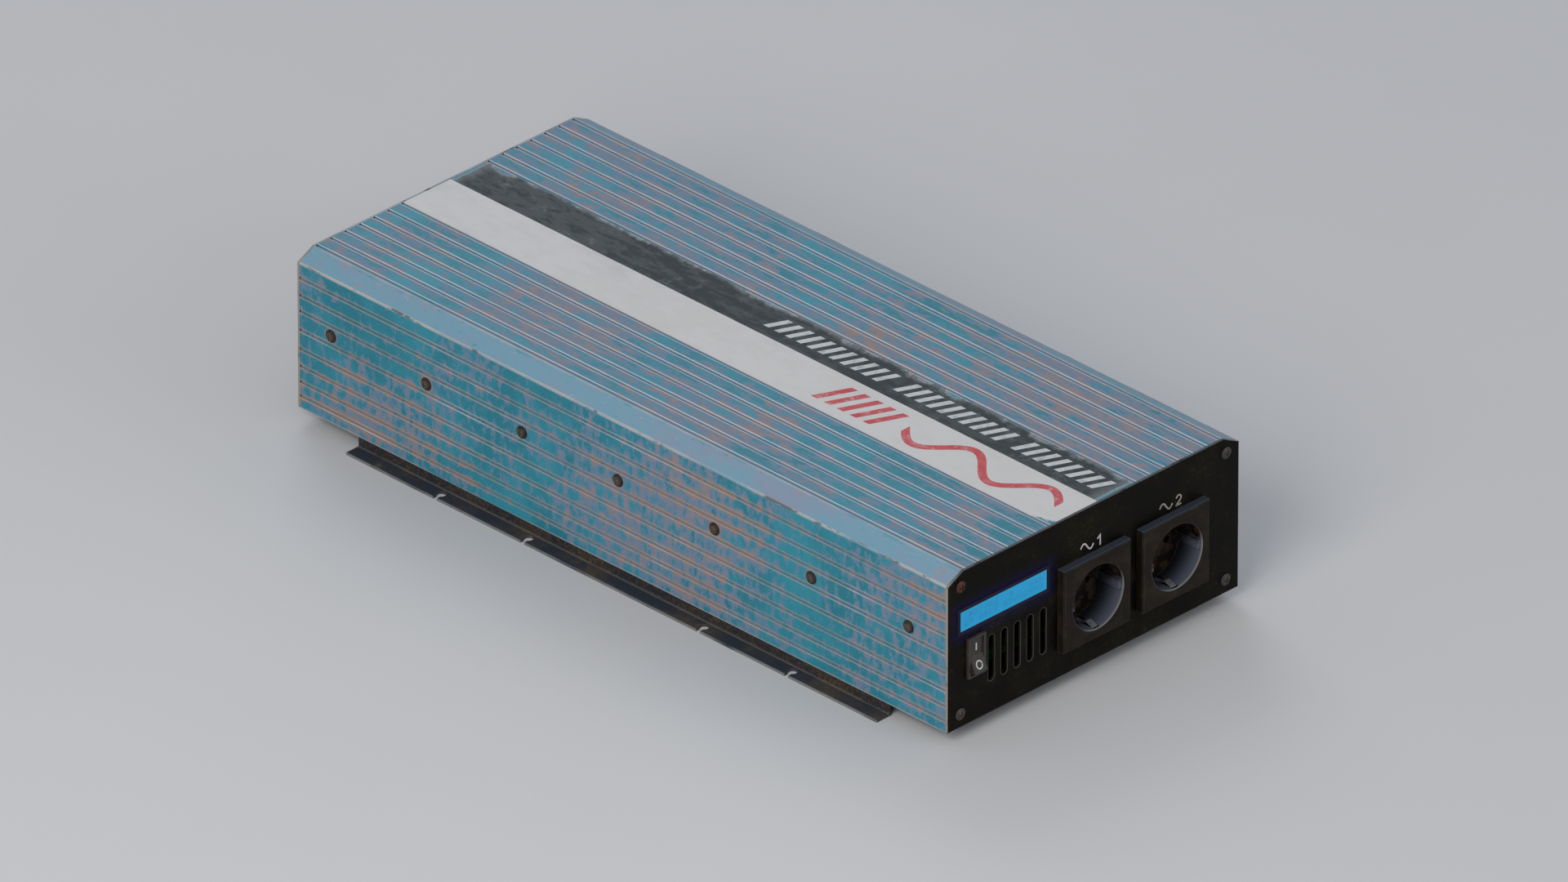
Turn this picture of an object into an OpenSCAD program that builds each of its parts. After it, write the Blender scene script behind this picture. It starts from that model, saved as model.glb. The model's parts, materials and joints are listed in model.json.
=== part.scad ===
// Mains power inverter: a long grooved aluminium case on two foot brackets,
// with two earthed round sockets, a display, a rocker switch and vents on the
// front panel, and two fans, two battery posts and an earth stud on the rear.
// X is the width, Y runs from the front panel to the rear, Z is up.

/* [Case] */
// Width of the case over its side walls
case_w = 226.6; // [210:0.1:260]
// Length of the case over both end panels
case_l = 506.3; // [480:0.1:560]
// Height of the case without the feet
case_h = 98; // [92:1:120]
// Thickness of the extruded walls
wall = 3; // [2.5:0.1:4]
// Width of the bevel along each top edge
chamfer_w = 12; // [8:0.5:14]
// Height of the bevel along each top edge
chamfer_h = 6; // [4:0.5:8]
// Thickness of the front and rear panels
panel_t = 1.5; // [1:0.1:2.5]
// Thickness of the base plate
base_t = 2; // [1.5:0.1:3]

/* [Grooves] */
// Width of each groove at the surface
groove_w = 2.4; // [1.5:0.1:3]
// Depth of each groove
groove_d = 0.9; // [0.4:0.1:1.2]
// Number of grooves on each half of the top
top_grooves = 7; // [1:1:7]
// Distance from the centre line to the first top groove
top_groove_first = 33.4; // [30:0.1:34]
// Pitch of the top grooves
top_groove_pitch = 11.05; // [8:0.05:11.1]
// Heights of the side grooves above the bottom of the case
side_groove_z = [7.5, 16.5, 26.5, 37.5, 49.5, 61.5, 71.5, 82.5];

/* [Feet] */
// Height of the case above the floor
foot_h = 8.8; // [7:0.1:14]
// Length of each foot bracket
foot_l = 414; // [400:1:440]
// Thickness of the bracket's sheet
foot_t = 1.5; // [1:0.1:2]
// Distance from the case side in to the bracket's web
foot_inset = 1.4; // [0.5:0.1:3]
// Width of the flange that stands on the floor
foot_reach = 9.7; // [9:0.1:16]
// Distance between the two inner fixing slots of a bracket
foot_inner_pitch = 137; // [100:1:150]
// Distance between the two outer fixing slots of a bracket
foot_outer_pitch = 274; // [220:1:340]
// Radius of a fixing slot's round end
foot_hole_r = 2.75; // [2.2:0.05:3]

/* [Sockets] */
// Side of the square socket plate
plate_w = 52; // [48:1:54]
// Distance that the plate stands out of the panel
plate_out = 5.3; // [5.2:0.1:8]
// Radius of the round recess
recess_r = 19.75; // [19.5:0.05:20]
// Depth of the recess from the plate's face
recess_deep = 17.5; // [17:0.1:18]
// Distance between the two pin holes
pin_pitch = 19; // [19:1:19]
// Radius of a pin hole and of the contact behind it
pin_r = 2.55; // [2.5:0.05:2.6]
// Distance of each socket from the centre line
socket_x = [-1.7, 59.8];
// Height of the sockets above the bottom of the case
socket_z = 42.7; // [40:0.1:50]

/* [Display] */
// Distance of the display from the centre line
display_x = -70.3; // [-72:0.1:-60]
// Height of the display above the bottom of the case
display_z = 66.3; // [64:0.1:70]
// Width of the display's bezel
bezel_w = 71.2; // [60:0.1:74]
// Height of the display's bezel
bezel_h = 16.7; // [14:0.1:20]
// Width of the bezel's rim
bezel_rim = 2.1; // [1.5:0.1:2.5]

/* [Switch] */
// Distance of the switch from the centre line
switch_x = -91.9; // [-93:0.1:-90]
// Height of the switch above the bottom of the case
switch_z = 41.2; // [38:0.1:42]
// Width of the switch's rim
switch_w = 13.7; // [13:0.1:15]
// Height of the switch's rim
switch_h = 25; // [24.8:0.1:27]
// Tilt of the rocker to each side of its middle
rocker_tilt = 12; // [8:1:12]

/* [Vents] */
// Number of front vent slots
vent_count = 5; // [1:1:5]
// Pitch of the vent slots
vent_pitch = 10.05; // [8:0.05:10.2]
// Width of a vent slot
vent_w = 4.8; // [3:0.1:5]
// Height of a vent slot
vent_h = 29; // [20:1:30]

/* [Rear] */
// Width of each square fan
fan_w = 60; // [60:1:60]
// Depth of each fan
fan_deep = 25; // [20:1:30]
// Distance of each fan from the centre line
fan_x = 33; // [32:0.5:36]
// Distance of each battery post from the centre line
post_x = 85; // [82:0.5:86]
// Height of the fans and battery posts above the bottom of the case
rear_z = 50; // [45:1:52]
// Radius of a battery post's threaded stud
stud_r = 4; // [3:0.5:5]
// Distance that the studs stand out of the rear panel
stud_out = 24; // [20:1:30]

/* [Screws] */
// Number of screws along each side
side_screws = 7; // [3:1:7]
// Pitch of the side screws
side_screw_pitch = 75; // [50:1:76]
// Height of the side screws above the bottom of the case
side_screw_z = 55.4; // [54:0.1:57]
// Distance of the panel screws from the centre line
panel_screw_x = 103.3; // [102:0.1:104]

/* [Hidden] */

$fn = 48;
eps = 0.01;

// Places of the case in the part's frame
half_w = case_w / 2;
front_y = plate_out - (case_l + plate_out + stud_out) / 2;
rear_y = front_y + case_l;
mid_y = (front_y + rear_y) / 2;
shell_l = case_l - 2 * panel_t;
in_front_y = front_y + panel_t;
in_rear_y = rear_y - panel_t;

// Inner corners of the shell's bevel, one wall thickness in
bevel_l = sqrt(chamfer_w * chamfer_w + chamfer_h * chamfer_h);
inner_x = half_w - wall;
inner_top_x = half_w - chamfer_w - wall * (bevel_l - chamfer_w) / chamfer_h;
inner_side_z = case_h - chamfer_h - wall * (bevel_l - chamfer_h) / chamfer_w;

// Screw bosses and base lip of the shell
boss_w = 9;
boss_low_z = 8.3;
boss_high_z = case_h - 9.4;
boss_hole_r = 1.8;
lip_x = 86;
lip_t = 2.7;
base_screw_x = 93;
base_screw_y = shell_l / 2 - 17;
bracket_screw_pitch = 90;
small_shank_r = 1.5;
small_gap = 0.1;

// Panel and side screws
panel_head_r = 3.55;
side_head_r = 3.6;
shank_r = 1.75;
side_screw_shift = 1.75;

// Foot brackets
web_x = half_w - foot_inset;
flange_in = 24;
foot_edge_x = web_x + foot_reach;
foot_hole_x = foot_edge_x - 5;
foot_neck_w = 3;

// Display
window_w = bezel_w - 2 * bezel_rim;
window_h = bezel_h - 2 * bezel_rim;
bezel_out = 0.8;
sleeve_t = 0.9;
display_board_w = 76;
display_board_h = 30;

// Rocker switch, seen from the side about its pivot
rim_out = 2;
pivot_deep = 1.6;
pivot_r = 1;
paddle_w = 9.6;
paddle_half = 10.3;
paddle_deep = 2.5;
rocker_hole_w = 10.2;
rocker_hole_h = 22.7;
switch_cut_w = 12.5;
switch_cut_h = 24.3;
switch_deep = 20;

// Vents
vent_mid_x = -59.2;
vent_z = 34.2;

// Sockets
plate_bevel = 0.8;
socket_r = 22.2;
socket_floor = 2.5;
contact_wall = 0.8;
contact_l = 12;
socket_l = recess_deep - plate_out + socket_floor + contact_l + 5;
key_w = 5.2;
key_in = 2.6;
clip_w = 4;
clip_t = 0.8;

// Fans
fan_bore_r = 28.3;
fan_hole = 25;
rotor_r = 27.2;
hub_r = 14.5;
blade_count = 7;
shaft_r = 1.5;
running_gap = 0.06;
wire_r = 0.8;

// Battery posts and earth stud
post_r = 15;
post_base = 6;
washer_t = 1.6;
nut_t = 6.5;
stud_inside = 26;
ground_r = 3;
ground_z = 12;
ground_out = 16;
ground_nut_t = 5;
stud_end_step = 0.2;

// Circuit board and what stands on it, measured from the middle of the case
board_z = 14;
board_t = 1.6;
board_top = board_z + board_t;
board_w = 2 * inner_x - 1.6;
board_l = 435;
board_y = -12.5;
standoff_x = 70;
standoff_y = [-220, -80, 60, 195];
transformer_places = [[-38, 85], [38, 85], [-38, 15], [38, 15]];
bar_t = 6;
bar_h = 12;
bar_l = 470;
pad_t = 0.3;
package_t = 5;
package_w = 16;
package_h = 21;
package_z = 40;

// ---- placing helpers ----

// Puts children on the front panel: local Z points out, local Y up
module on_front(x, z, deep = 0) {
    translate([x, front_y + deep, foot_h + z])
        rotate([90, 0, 0])
            children();
}

// Puts children on the rear panel: local Z points out, local Y up
module on_rear(x, z, deep = 0) {
    translate([x, rear_y - deep, foot_h + z])
        rotate([90, 0, 180])
            children();
}

// Puts children on a side of the case, side -1 or 1: local Z points out
module on_side(side, y, z) {
    translate([side * half_w, y, foot_h + z])
        rotate([90, 0, side * 90])
            children();
}

// Extrudes a section drawn in X and Z along Y, from y0 over a length
module along_y(y0, length) {
    translate([0, y0 + length, foot_h])
        rotate([90, 0, 0])
            linear_extrude(height = length)
                children();
}

// Extrudes a section drawn in Y and Z along X, centred on x
module along_x(x, width) {
    translate([x - width / 2, 0, 0])
        rotate([90, 0, 90])
            linear_extrude(height = width)
                children();
}

// A box given by its middle in X and Y and its bottom in Z, above the case bottom
module block(x, y, z, size) {
    translate([x - size[0] / 2, mid_y + y - size[1] / 2, foot_h + z])
        cube(size);
}

// ---- shared pieces ----

// Cross-head screw whose head seats at z 0 and whose shank points down
module pan_screw(head_r, head_h, screw_r, length) {
    dome_r = 1.5 * head_r;
    slot = [1.15 * head_r, 0.9, 1.4];
    difference() {
        union() {
            intersection() {
                cylinder(r = head_r, h = head_h);
                translate([0, 0, head_h - dome_r])
                    sphere(r = dome_r);
            }
            translate([0, 0, -length])
                cylinder(r = screw_r, h = length + eps);
        }
        translate([0, 0, head_h])
            cube(slot, center = true);
        translate([0, 0, head_h])
            rotate([0, 0, 90])
                cube(slot, center = true);
    }
}

// Straight round rod between two points
module rod(a, b, r) {
    d = b - a;
    length = norm(d);
    translate(a)
        rotate([0, acos(d[2] / length), atan2(d[1], d[0])])
            cylinder(r = r, h = length);
}

// Round wire along a list of points, with ball corners
module wire(points, r) {
    for (i = [0 : len(points) - 2])
        rod(points[i], points[i + 1], r);
    for (i = [1 : len(points) - 2])
        translate(points[i])
            sphere(r = r);
}

// Hexagonal nut with a hole, standing on z 0
module hex_nut(across, height, hole_r) {
    difference() {
        cylinder(r = across / sqrt(3), h = height, $fn = 6);
        translate([0, 0, -1])
            cylinder(r = hole_r, h = height + 2);
    }
}

// ---- case ----

// Outline of the case seen from the front
module case_outline() {
    polygon([
        [-half_w, 0],
        [-half_w, case_h - chamfer_h],
        [-half_w + chamfer_w, case_h],
        [half_w - chamfer_w, case_h],
        [half_w, case_h - chamfer_h],
        [half_w, 0]
    ]);
}

// Section of the room inside the shell's walls
module shell_room() {
    polygon([
        [-inner_x, -1],
        [-inner_x, inner_side_z],
        [-inner_top_x, case_h - wall],
        [inner_top_x, case_h - wall],
        [inner_x, inner_side_z],
        [inner_x, -1]
    ]);
}

// Section of one groove, cut down into a surface that faces up
module groove_section() {
    floor_w = groove_w - groove_d;
    polygon([
        [-groove_w / 2, 0.5],
        [-groove_w / 2, 0],
        [-floor_w / 2, -groove_d],
        [floor_w / 2, -groove_d],
        [groove_w / 2, 0],
        [groove_w / 2, 0.5]
    ]);
}

// All grooves of the right half of the case
module right_grooves() {
    for (i = [0 : top_grooves - 1])
        translate([top_groove_first + i * top_groove_pitch, case_h])
            groove_section();
    for (z = side_groove_z)
        translate([half_w, z])
            rotate(-90)
                groove_section();
}

// Screw bosses and base lip on the right wall
module right_ribs() {
    boss_x = panel_screw_x - boss_w / 2;
    boss_reach = inner_x + 1 - boss_x;
    translate([boss_x, base_t])
        square([boss_reach, boss_low_z + boss_w / 2 - base_t]);
    translate([boss_x, boss_high_z - boss_w / 2])
        square([boss_reach, case_h]);
    translate([lip_x, base_t])
        square([inner_x + 1 - lip_x, lip_t]);
}

module both_halves() {
    children();
    mirror([1, 0])
        children();
}

// Section of the hollow that the screw bosses and base lips leave inside the shell
module shell_hollow() {
    difference() {
        shell_room();
        both_halves()
            right_ribs();
    }
}

module shell_section() {
    difference() {
        case_outline();
        shell_hollow();
        both_halves()
            right_grooves();
        both_halves()
            for (z = [boss_low_z, boss_high_z])
                translate([panel_screw_x, z])
                    circle(r = boss_hole_r);
    }
}

// Places of the screws that hold the base plate, as X and Y
function base_screw_places() = [
    for (x = [-1, 1], y = [-1, 1]) [x * base_screw_x, mid_y + y * base_screw_y]
];

// Places of the screws that hold the foot brackets, as X and Y
function bracket_screw_places() = [
    for (x = [-1, 1], i = [-2 : 2]) [x * base_screw_x, mid_y + i * bracket_screw_pitch]
];

// Round holes straight down through the bottom of the case
module bottom_holes(places, r) {
    for (p = places)
        translate([p[0], p[1], foot_h - 5])
            cylinder(r = r, h = base_t + lip_t + 10);
}

function side_screw_y(i) =
    mid_y + side_screw_shift + (i - (side_screws - 1) / 2) * side_screw_pitch;

// Round holes through a side wall and what is clamped to it
module side_holes(side, r, deep) {
    for (i = [0 : side_screws - 1])
        on_side(side, side_screw_y(i), side_screw_z)
            translate([0, 0, -deep])
                cylinder(r = r, h = deep + 1);
}

module housing_shell() {
    color("steelblue")
        difference() {
            along_y(in_front_y, shell_l)
                shell_section();
            bottom_holes(base_screw_places(), small_shank_r + small_gap);
            bottom_holes(bracket_screw_places(), small_shank_r + small_gap);
            side_holes(-1, shank_r + small_gap, wall + 1);
            side_holes(1, shank_r + small_gap, wall + 1);
        }
}

module base_plate() {
    plate_gap = 0.2;
    color("gray")
        difference() {
            block(0, 0, 0, [2 * (inner_x - plate_gap), shell_l - 2 * plate_gap, base_t]);
            bottom_holes(base_screw_places(), small_shank_r + small_gap);
            bottom_holes(bracket_screw_places(), small_shank_r + small_gap);
        }
}

// Holes for the four screws of an end panel
module panel_screw_holes() {
    for (x = [-1, 1], z = [boss_low_z, boss_high_z])
        translate([x * panel_screw_x, z])
            circle(r = shank_r + small_gap);
}

module vent_slot() {
    straight = vent_h - vent_w;
    square([vent_w, straight], center = true);
    for (side = [-1, 1])
        translate([0, side * straight / 2])
            circle(r = vent_w / 2);
}

module front_panel() {
    color("#1a1815")
        along_y(front_y, panel_t)
            difference() {
                case_outline();
                panel_screw_holes();
                translate([display_x, display_z])
                    square([window_w + 2 * sleeve_t, window_h + 2 * sleeve_t], center = true);
                translate([switch_x, switch_z])
                    square([switch_cut_w, switch_cut_h], center = true);
                for (i = [0 : vent_count - 1])
                    translate([vent_mid_x + (i - (vent_count - 1) / 2) * vent_pitch, vent_z])
                        vent_slot();
                for (x = socket_x)
                    translate([x, socket_z])
                        circle(r = socket_r);
            }
}

module rear_panel() {
    color("#1a1815")
        along_y(in_rear_y, panel_t)
            difference() {
                case_outline();
                panel_screw_holes();
                for (side = [-1, 1]) {
                    translate([side * fan_x, rear_z]) {
                        circle(r = fan_bore_r);
                        for (x = [-1, 1], z = [-1, 1])
                            translate([x * fan_hole, z * fan_hole])
                                circle(r = shank_r + small_gap);
                    }
                    translate([side * post_x, rear_z])
                        circle(r = stud_r + 3);
                }
                translate([0, ground_z])
                    circle(r = ground_r + small_gap);
            }
}

module panel_screw() {
    pan_screw(panel_head_r, 1.8, shank_r, 12);
}

module front_panel_screws() {
    color("dimgray")
        for (x = [-1, 1], z = [boss_low_z, boss_high_z])
            on_front(x * panel_screw_x, z)
                panel_screw();
}

module rear_panel_screws() {
    color("dimgray")
        for (x = [-1, 1], z = [boss_low_z, boss_high_z])
            on_rear(x * panel_screw_x, z)
                panel_screw();
}

module side_screw_row(side) {
    color("#4a3a32")
        for (i = [0 : side_screws - 1])
            on_side(side, side_screw_y(i), side_screw_z)
                pan_screw(side_head_r, 2, shank_r, 13);
}

module side_screws_left() {
    side_screw_row(-1);
}

module side_screws_right() {
    side_screw_row(1);
}

// ---- feet ----

// Open slot in a bracket's floor flange: a round end and a narrower mouth
module foot_slot() {
    mouth = foot_edge_x - foot_hole_x + 1;
    translate([foot_hole_x, 0, -1])
        cylinder(r = foot_hole_r, h = foot_t + 2);
    translate([foot_hole_x, -foot_neck_w / 2, -1])
        cube([mouth, foot_neck_w, foot_t + 2]);
}

// Right-hand bracket: a flange under the case, a web and a flange on the floor
module foot_bracket() {
    difference() {
        translate([0, mid_y + foot_l / 2, 0])
            rotate([90, 0, 0])
                linear_extrude(height = foot_l)
                    polygon([
                        [web_x - foot_t, 0],
                        [foot_edge_x, 0],
                        [foot_edge_x, foot_t],
                        [web_x, foot_t],
                        [web_x, foot_h],
                        [web_x - flange_in, foot_h],
                        [web_x - flange_in, foot_h - foot_t],
                        [web_x - foot_t, foot_h - foot_t]
                    ]);
        for (pitch = [foot_inner_pitch, foot_outer_pitch], end = [-1, 1])
            translate([0, mid_y + end * pitch / 2, 0])
                foot_slot();
        bottom_holes(bracket_screw_places(), small_shank_r + small_gap);
    }
}

module foot_bracket_left() {
    color("#2b2622")
        mirror([1, 0, 0])
            foot_bracket();
}

module foot_bracket_right() {
    color("#2b2622")
        foot_bracket();
}

// Screw driven up from below, with its head under the given height
module under_screw(x, y, z, length) {
    translate([x, y, z])
        mirror([0, 0, 1])
            pan_screw(2.9, 1.7, small_shank_r, length);
}

module bracket_screws() {
    color("dimgray")
        for (p = bracket_screw_places())
            under_screw(p[0], p[1], foot_h - foot_t, 8);
}

module base_screws() {
    color("dimgray")
        for (p = base_screw_places())
            under_screw(p[0], p[1], foot_h, 6.5);
}

// ---- display ----

module display_bezel() {
    color("#221d1b")
        on_front(display_x, display_z)
            difference() {
                union() {
                    translate([0, 0, bezel_out / 2])
                        cube([bezel_w, bezel_h, bezel_out], center = true);
                    translate([0, 0, (eps - panel_t) / 2])
                        cube([window_w + 2 * sleeve_t, window_h + 2 * sleeve_t, panel_t + eps],
                            center = true);
                }
                cube([window_w, window_h, 10], center = true);
            }
}

module display_glass() {
    glass_back = 0.9;
    glass_t = 1.3;
    color("deepskyblue")
        on_front(display_x, display_z)
            translate([0, 0, glass_t / 2 - glass_back])
                cube([window_w, window_h, glass_t], center = true);
}

// Display cell and its circuit board behind the panel
module display_module() {
    cell_deep = 7;
    color("darkgreen") {
        on_front(display_x, display_z, panel_t + cell_deep / 2)
            cube([bezel_w, 24, cell_deep], center = true);
        on_front(display_x + 1.5, display_z + 2.5, panel_t + cell_deep + board_t / 2)
            cube([display_board_w, display_board_h, board_t], center = true);
    }
}

// ---- rocker switch ----

module switch_body() {
    cavity = 9;
    color("#2a2623")
        on_front(switch_x, switch_z)
            difference() {
                union() {
                    translate([0, 0, rim_out / 2])
                        cube([switch_w, switch_h, rim_out], center = true);
                    translate([0, 0, -switch_deep / 2 + eps])
                        cube([switch_cut_w - small_gap, switch_cut_h - small_gap, switch_deep],
                            center = true);
                }
                translate([0, 0, rim_out + 1 - (cavity + rim_out + 1) / 2])
                    cube([rocker_hole_w, rocker_hole_h, cavity + rim_out + 1], center = true);
                translate([0, 0, -pivot_deep])
                    rotate([0, 90, 0])
                        cylinder(r = pivot_r + running_gap, h = switch_w * 2, center = true);
            }
}

// Side view of the rocker about its pivot at mid travel: Y in, Z up
module rocker_section() {
    end_y = -paddle_deep - paddle_half * sin(rocker_tilt);
    end_z = paddle_half * cos(rocker_tilt);
    polygon([
        [end_y, end_z],
        [-paddle_deep, 0],
        [end_y, -end_z],
        [-1, -10.7],
        [3, -6],
        [3, 6],
        [-1, 10.7]
    ]);
}

module switch_rocker() {
    color("#35302c")
        translate([switch_x, front_y + pivot_deep, foot_h + switch_z])
            rotate([-rocker_tilt, 0, 0]) {
                along_x(0, paddle_w)
                    rocker_section();
                rotate([0, 90, 0])
                    cylinder(r = pivot_r, h = paddle_w + 1.8, center = true);
            }
}

module switch_terminals() {
    color("goldenrod")
        for (i = [-1 : 1])
            on_front(switch_x, switch_z + i * 7, switch_deep + 4)
                cube([4.8, 0.8, 8], center = true);
}

// ---- sockets ----

// Square plate with bevelled front edges, standing on z 0
module socket_plate() {
    edge = plate_w / 2;
    linear = plate_out - plate_bevel;
    section = [
        [-edge, 0],
        [-edge, linear],
        [-edge + plate_bevel, plate_out],
        [edge - plate_bevel, plate_out],
        [edge, linear],
        [edge, 0]
    ];
    intersection() {
        translate([0, edge, 0])
            rotate([90, 0, 0])
                linear_extrude(height = plate_w)
                    polygon(section);
        translate([-edge, 0, 0])
            rotate([90, 0, 90])
                linear_extrude(height = plate_w)
                    polygon(section);
    }
}

// Round earthed socket, seated on the panel at z 0
module socket_body() {
    floor_z = plate_out - recess_deep;
    back_z = -socket_l;
    clip_slot = [clip_w + 1, 3, recess_deep - 1];
    difference() {
        union() {
            socket_plate();
            translate([0, 0, back_z])
                cylinder(r = socket_r - small_gap, h = socket_l + eps);
        }
        difference() {
            translate([0, 0, floor_z])
                cylinder(r = recess_r, h = recess_deep + 1);
            for (side = [-1, 1])
                translate([side * recess_r, 0, floor_z + recess_deep / 2 - 1])
                    cube([2 * key_in, key_w, recess_deep], center = true);
        }
        for (side = [-1, 1]) {
            translate([0, side * (recess_r + 0.3), floor_z + clip_slot[2] / 2])
                cube(clip_slot, center = true);
            translate([side * pin_pitch / 2, 0, floor_z - socket_floor - 1])
                cylinder(r = pin_r, h = socket_floor + 2);
            translate([side * pin_pitch / 2, 0, back_z - 1])
                cylinder(r = pin_r + contact_wall, h = contact_l + 5 + 1);
        }
    }
}

// Two sprung earth strips, in the slots above and below
module earth_clips() {
    floor_y = plate_out - recess_deep;
    top = recess_r + 0.9;
    for (side = [0, 1])
        mirror([0, side, 0])
            rotate([90, 0, 90])
                translate([0, 0, -clip_w / 2])
                    linear_extrude(height = clip_w)
                        polygon([
                            [top, floor_y],
                            [top + clip_t, floor_y],
                            [top + clip_t, floor_y + 4.5],
                            [top - 2.2, floor_y + 10],
                            [top - 0.4, floor_y + 15],
                            [top - 1.1, floor_y + 15.4],
                            [top - 2.2 - clip_t * 1.3, floor_y + 10],
                            [top, floor_y + 4.1]
                        ]);
}

// Tube contacts behind the pin holes
module pin_contacts() {
    contact_z = plate_out - recess_deep - socket_floor - contact_l;
    for (side = [-1, 1])
        translate([side * pin_pitch / 2, 0, contact_z])
            difference() {
                cylinder(r = pin_r + contact_wall, h = contact_l);
                translate([0, 0, -1])
                    cylinder(r = pin_r, h = contact_l + 2);
            }
}

module socket_1_body() {
    color("#2d2622")
        on_front(socket_x[0], socket_z)
            socket_body();
}

module socket_2_body() {
    color("#2d2622")
        on_front(socket_x[1], socket_z)
            socket_body();
}

module socket_1_earth_clips() {
    color("silver")
        on_front(socket_x[0], socket_z)
            earth_clips();
}

module socket_2_earth_clips() {
    color("silver")
        on_front(socket_x[1], socket_z)
            earth_clips();
}

module socket_1_contacts() {
    color("gold")
        on_front(socket_x[0], socket_z)
            pin_contacts();
}

module socket_2_contacts() {
    color("gold")
        on_front(socket_x[1], socket_z)
            pin_contacts();
}

// ---- fans ----

// Square fan frame behind the panel, its outer face at z 0
module fan_frame() {
    hub_t = 3;
    strut = [fan_bore_r - hub_r + 2, 4, 2.4];
    bearing_l = 14;
    difference() {
        union() {
            difference() {
                translate([0, 0, -fan_deep / 2])
                    cube([fan_w, fan_w, fan_deep], center = true);
                translate([0, 0, -fan_deep - 1])
                    cylinder(r = fan_bore_r, h = fan_deep + 2);
            }
            translate([0, 0, -fan_deep])
                cylinder(r = hub_r, h = hub_t);
            translate([0, 0, -fan_deep + 1])
                cylinder(r = 4, h = hub_t + bearing_l - 1);
            for (a = [30 : 90 : 300])
                rotate([0, 0, a])
                    translate([hub_r - 1, -strut[1] / 2, -fan_deep + 0.3])
                        cube(strut);
        }
        for (x = [-1, 1], y = [-1, 1])
            translate([x * fan_hole, y * fan_hole, -fan_deep - 1])
                cylinder(r = shank_r + small_gap, h = fan_deep + 2);
        translate([0, 0, -fan_deep - 1])
            cylinder(r = shaft_r + running_gap, h = fan_deep);
    }
}

// Rotor with a cup hub, pitched blades and its shaft
module fan_rotor() {
    top_z = -3;
    cup_l = 17;
    cup_t = 1.5;
    blade = [16, 1.2, 19];
    translate([0, 0, top_z]) {
        difference() {
            translate([0, 0, -cup_l])
                cylinder(r = hub_r, h = cup_l);
            translate([0, 0, -cup_l - 1])
                cylinder(r = hub_r - cup_t, h = cup_l + 1 - cup_t);
        }
        translate([0, 0, -cup_l + 0.5])
            cylinder(r = shaft_r, h = cup_l - 1);
        intersection() {
            translate([0, 0, -cup_l + 1])
                difference() {
                    cylinder(r = rotor_r, h = cup_l - 1.5);
                    translate([0, 0, -1])
                        cylinder(r = hub_r - cup_t / 2, h = cup_l + 1);
                }
            for (i = [0 : blade_count - 1])
                rotate([0, 0, i * 360 / blade_count])
                    translate([hub_r - cup_t + blade[0] / 2, 0, -cup_l / 2])
                        rotate([40, 0, 0])
                            cube(blade, center = true);
        }
    }
}

// Round wire guard standing just off the panel, its wires at z 0 and above
module fan_guard() {
    arm_z = wire_r + 0.05;
    ring_z = arm_z + 0.9;
    corner = fan_hole * sqrt(2);
    eye_r = shank_r + small_gap + wire_r + 0.1;
    for (r = [6, 13, 20, 27])
        translate([0, 0, ring_z])
            rotate_extrude()
                translate([r, 0])
                    circle(r = wire_r, $fn = 24);
    for (a = [45 : 90 : 315])
        rotate([0, 0, a]) {
            translate([0, 0, arm_z])
                rod([5.5, 0, 0], [corner - eye_r, 0, 0], wire_r);
            translate([corner, 0, arm_z])
                rotate_extrude()
                    translate([eye_r, 0])
                        circle(r = wire_r, $fn = 24);
        }
}

module fan_1_frame() {
    color("#26262a")
        on_rear(-fan_x, rear_z, panel_t)
            fan_frame();
}

module fan_2_frame() {
    color("#26262a")
        on_rear(fan_x, rear_z, panel_t)
            fan_frame();
}

module fan_1_rotor() {
    color("#38383e")
        on_rear(-fan_x, rear_z, panel_t)
            fan_rotor();
}

module fan_2_rotor() {
    color("#38383e")
        on_rear(fan_x, rear_z, panel_t)
            fan_rotor();
}

module fan_1_guard() {
    color("silver")
        on_rear(-fan_x, rear_z)
            fan_guard();
}

module fan_2_guard() {
    color("silver")
        on_rear(fan_x, rear_z)
            fan_guard();
}

module fan_screws() {
    seat = 2 * wire_r + 0.05;
    color("dimgray")
        for (fan = [-1, 1], x = [-1, 1], z = [-1, 1])
            on_rear(fan * fan_x + x * fan_hole, rear_z + z * fan_hole)
                translate([0, 0, seat])
                    pan_screw(3.4, 1.8, shank_r, panel_t + fan_deep + seat + 2);
}

// ---- battery posts and earth stud ----

// Moulded insulator with a collar through the panel
module post_base() {
    difference() {
        union() {
            cylinder(r = post_r, h = post_base - 1.5);
            translate([0, 0, post_base - 1.5 - eps])
                cylinder(r1 = post_r, r2 = post_r - 1.5, h = 1.5 + eps);
            translate([0, 0, -panel_t - 3])
                cylinder(r = stud_r + 3 - small_gap, h = panel_t + 3 + eps);
        }
        translate([0, 0, -20])
            cylinder(r = stud_r + small_gap / 2, h = 40);
    }
}

module terminal_positive() {
    color("firebrick")
        on_rear(post_x, rear_z)
            post_base();
}

module terminal_negative() {
    color("#1c1c1e")
        on_rear(-post_x, rear_z)
            post_base();
}

module both_posts() {
    for (side = [-1, 1])
        on_rear(side * post_x, rear_z)
            children();
}

// Stud from z -inside to z out, a little slimmer past its nut
module stud(r, inside, nut_top, out) {
    translate([0, 0, -inside])
        cylinder(r = r, h = inside + nut_top);
    translate([0, 0, nut_top - eps])
        cylinder(r = r - stud_end_step, h = out - nut_top + eps);
}

module terminal_studs() {
    color("goldenrod")
        both_posts()
            stud(stud_r, stud_inside, post_base + washer_t + nut_t, stud_out);
}

module terminal_washers() {
    color("silver")
        both_posts()
            translate([0, 0, post_base])
                difference() {
                    cylinder(r = 8, h = washer_t);
                    translate([0, 0, -1])
                        cylinder(r = stud_r + small_gap, h = washer_t + 2);
                }
}

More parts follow.
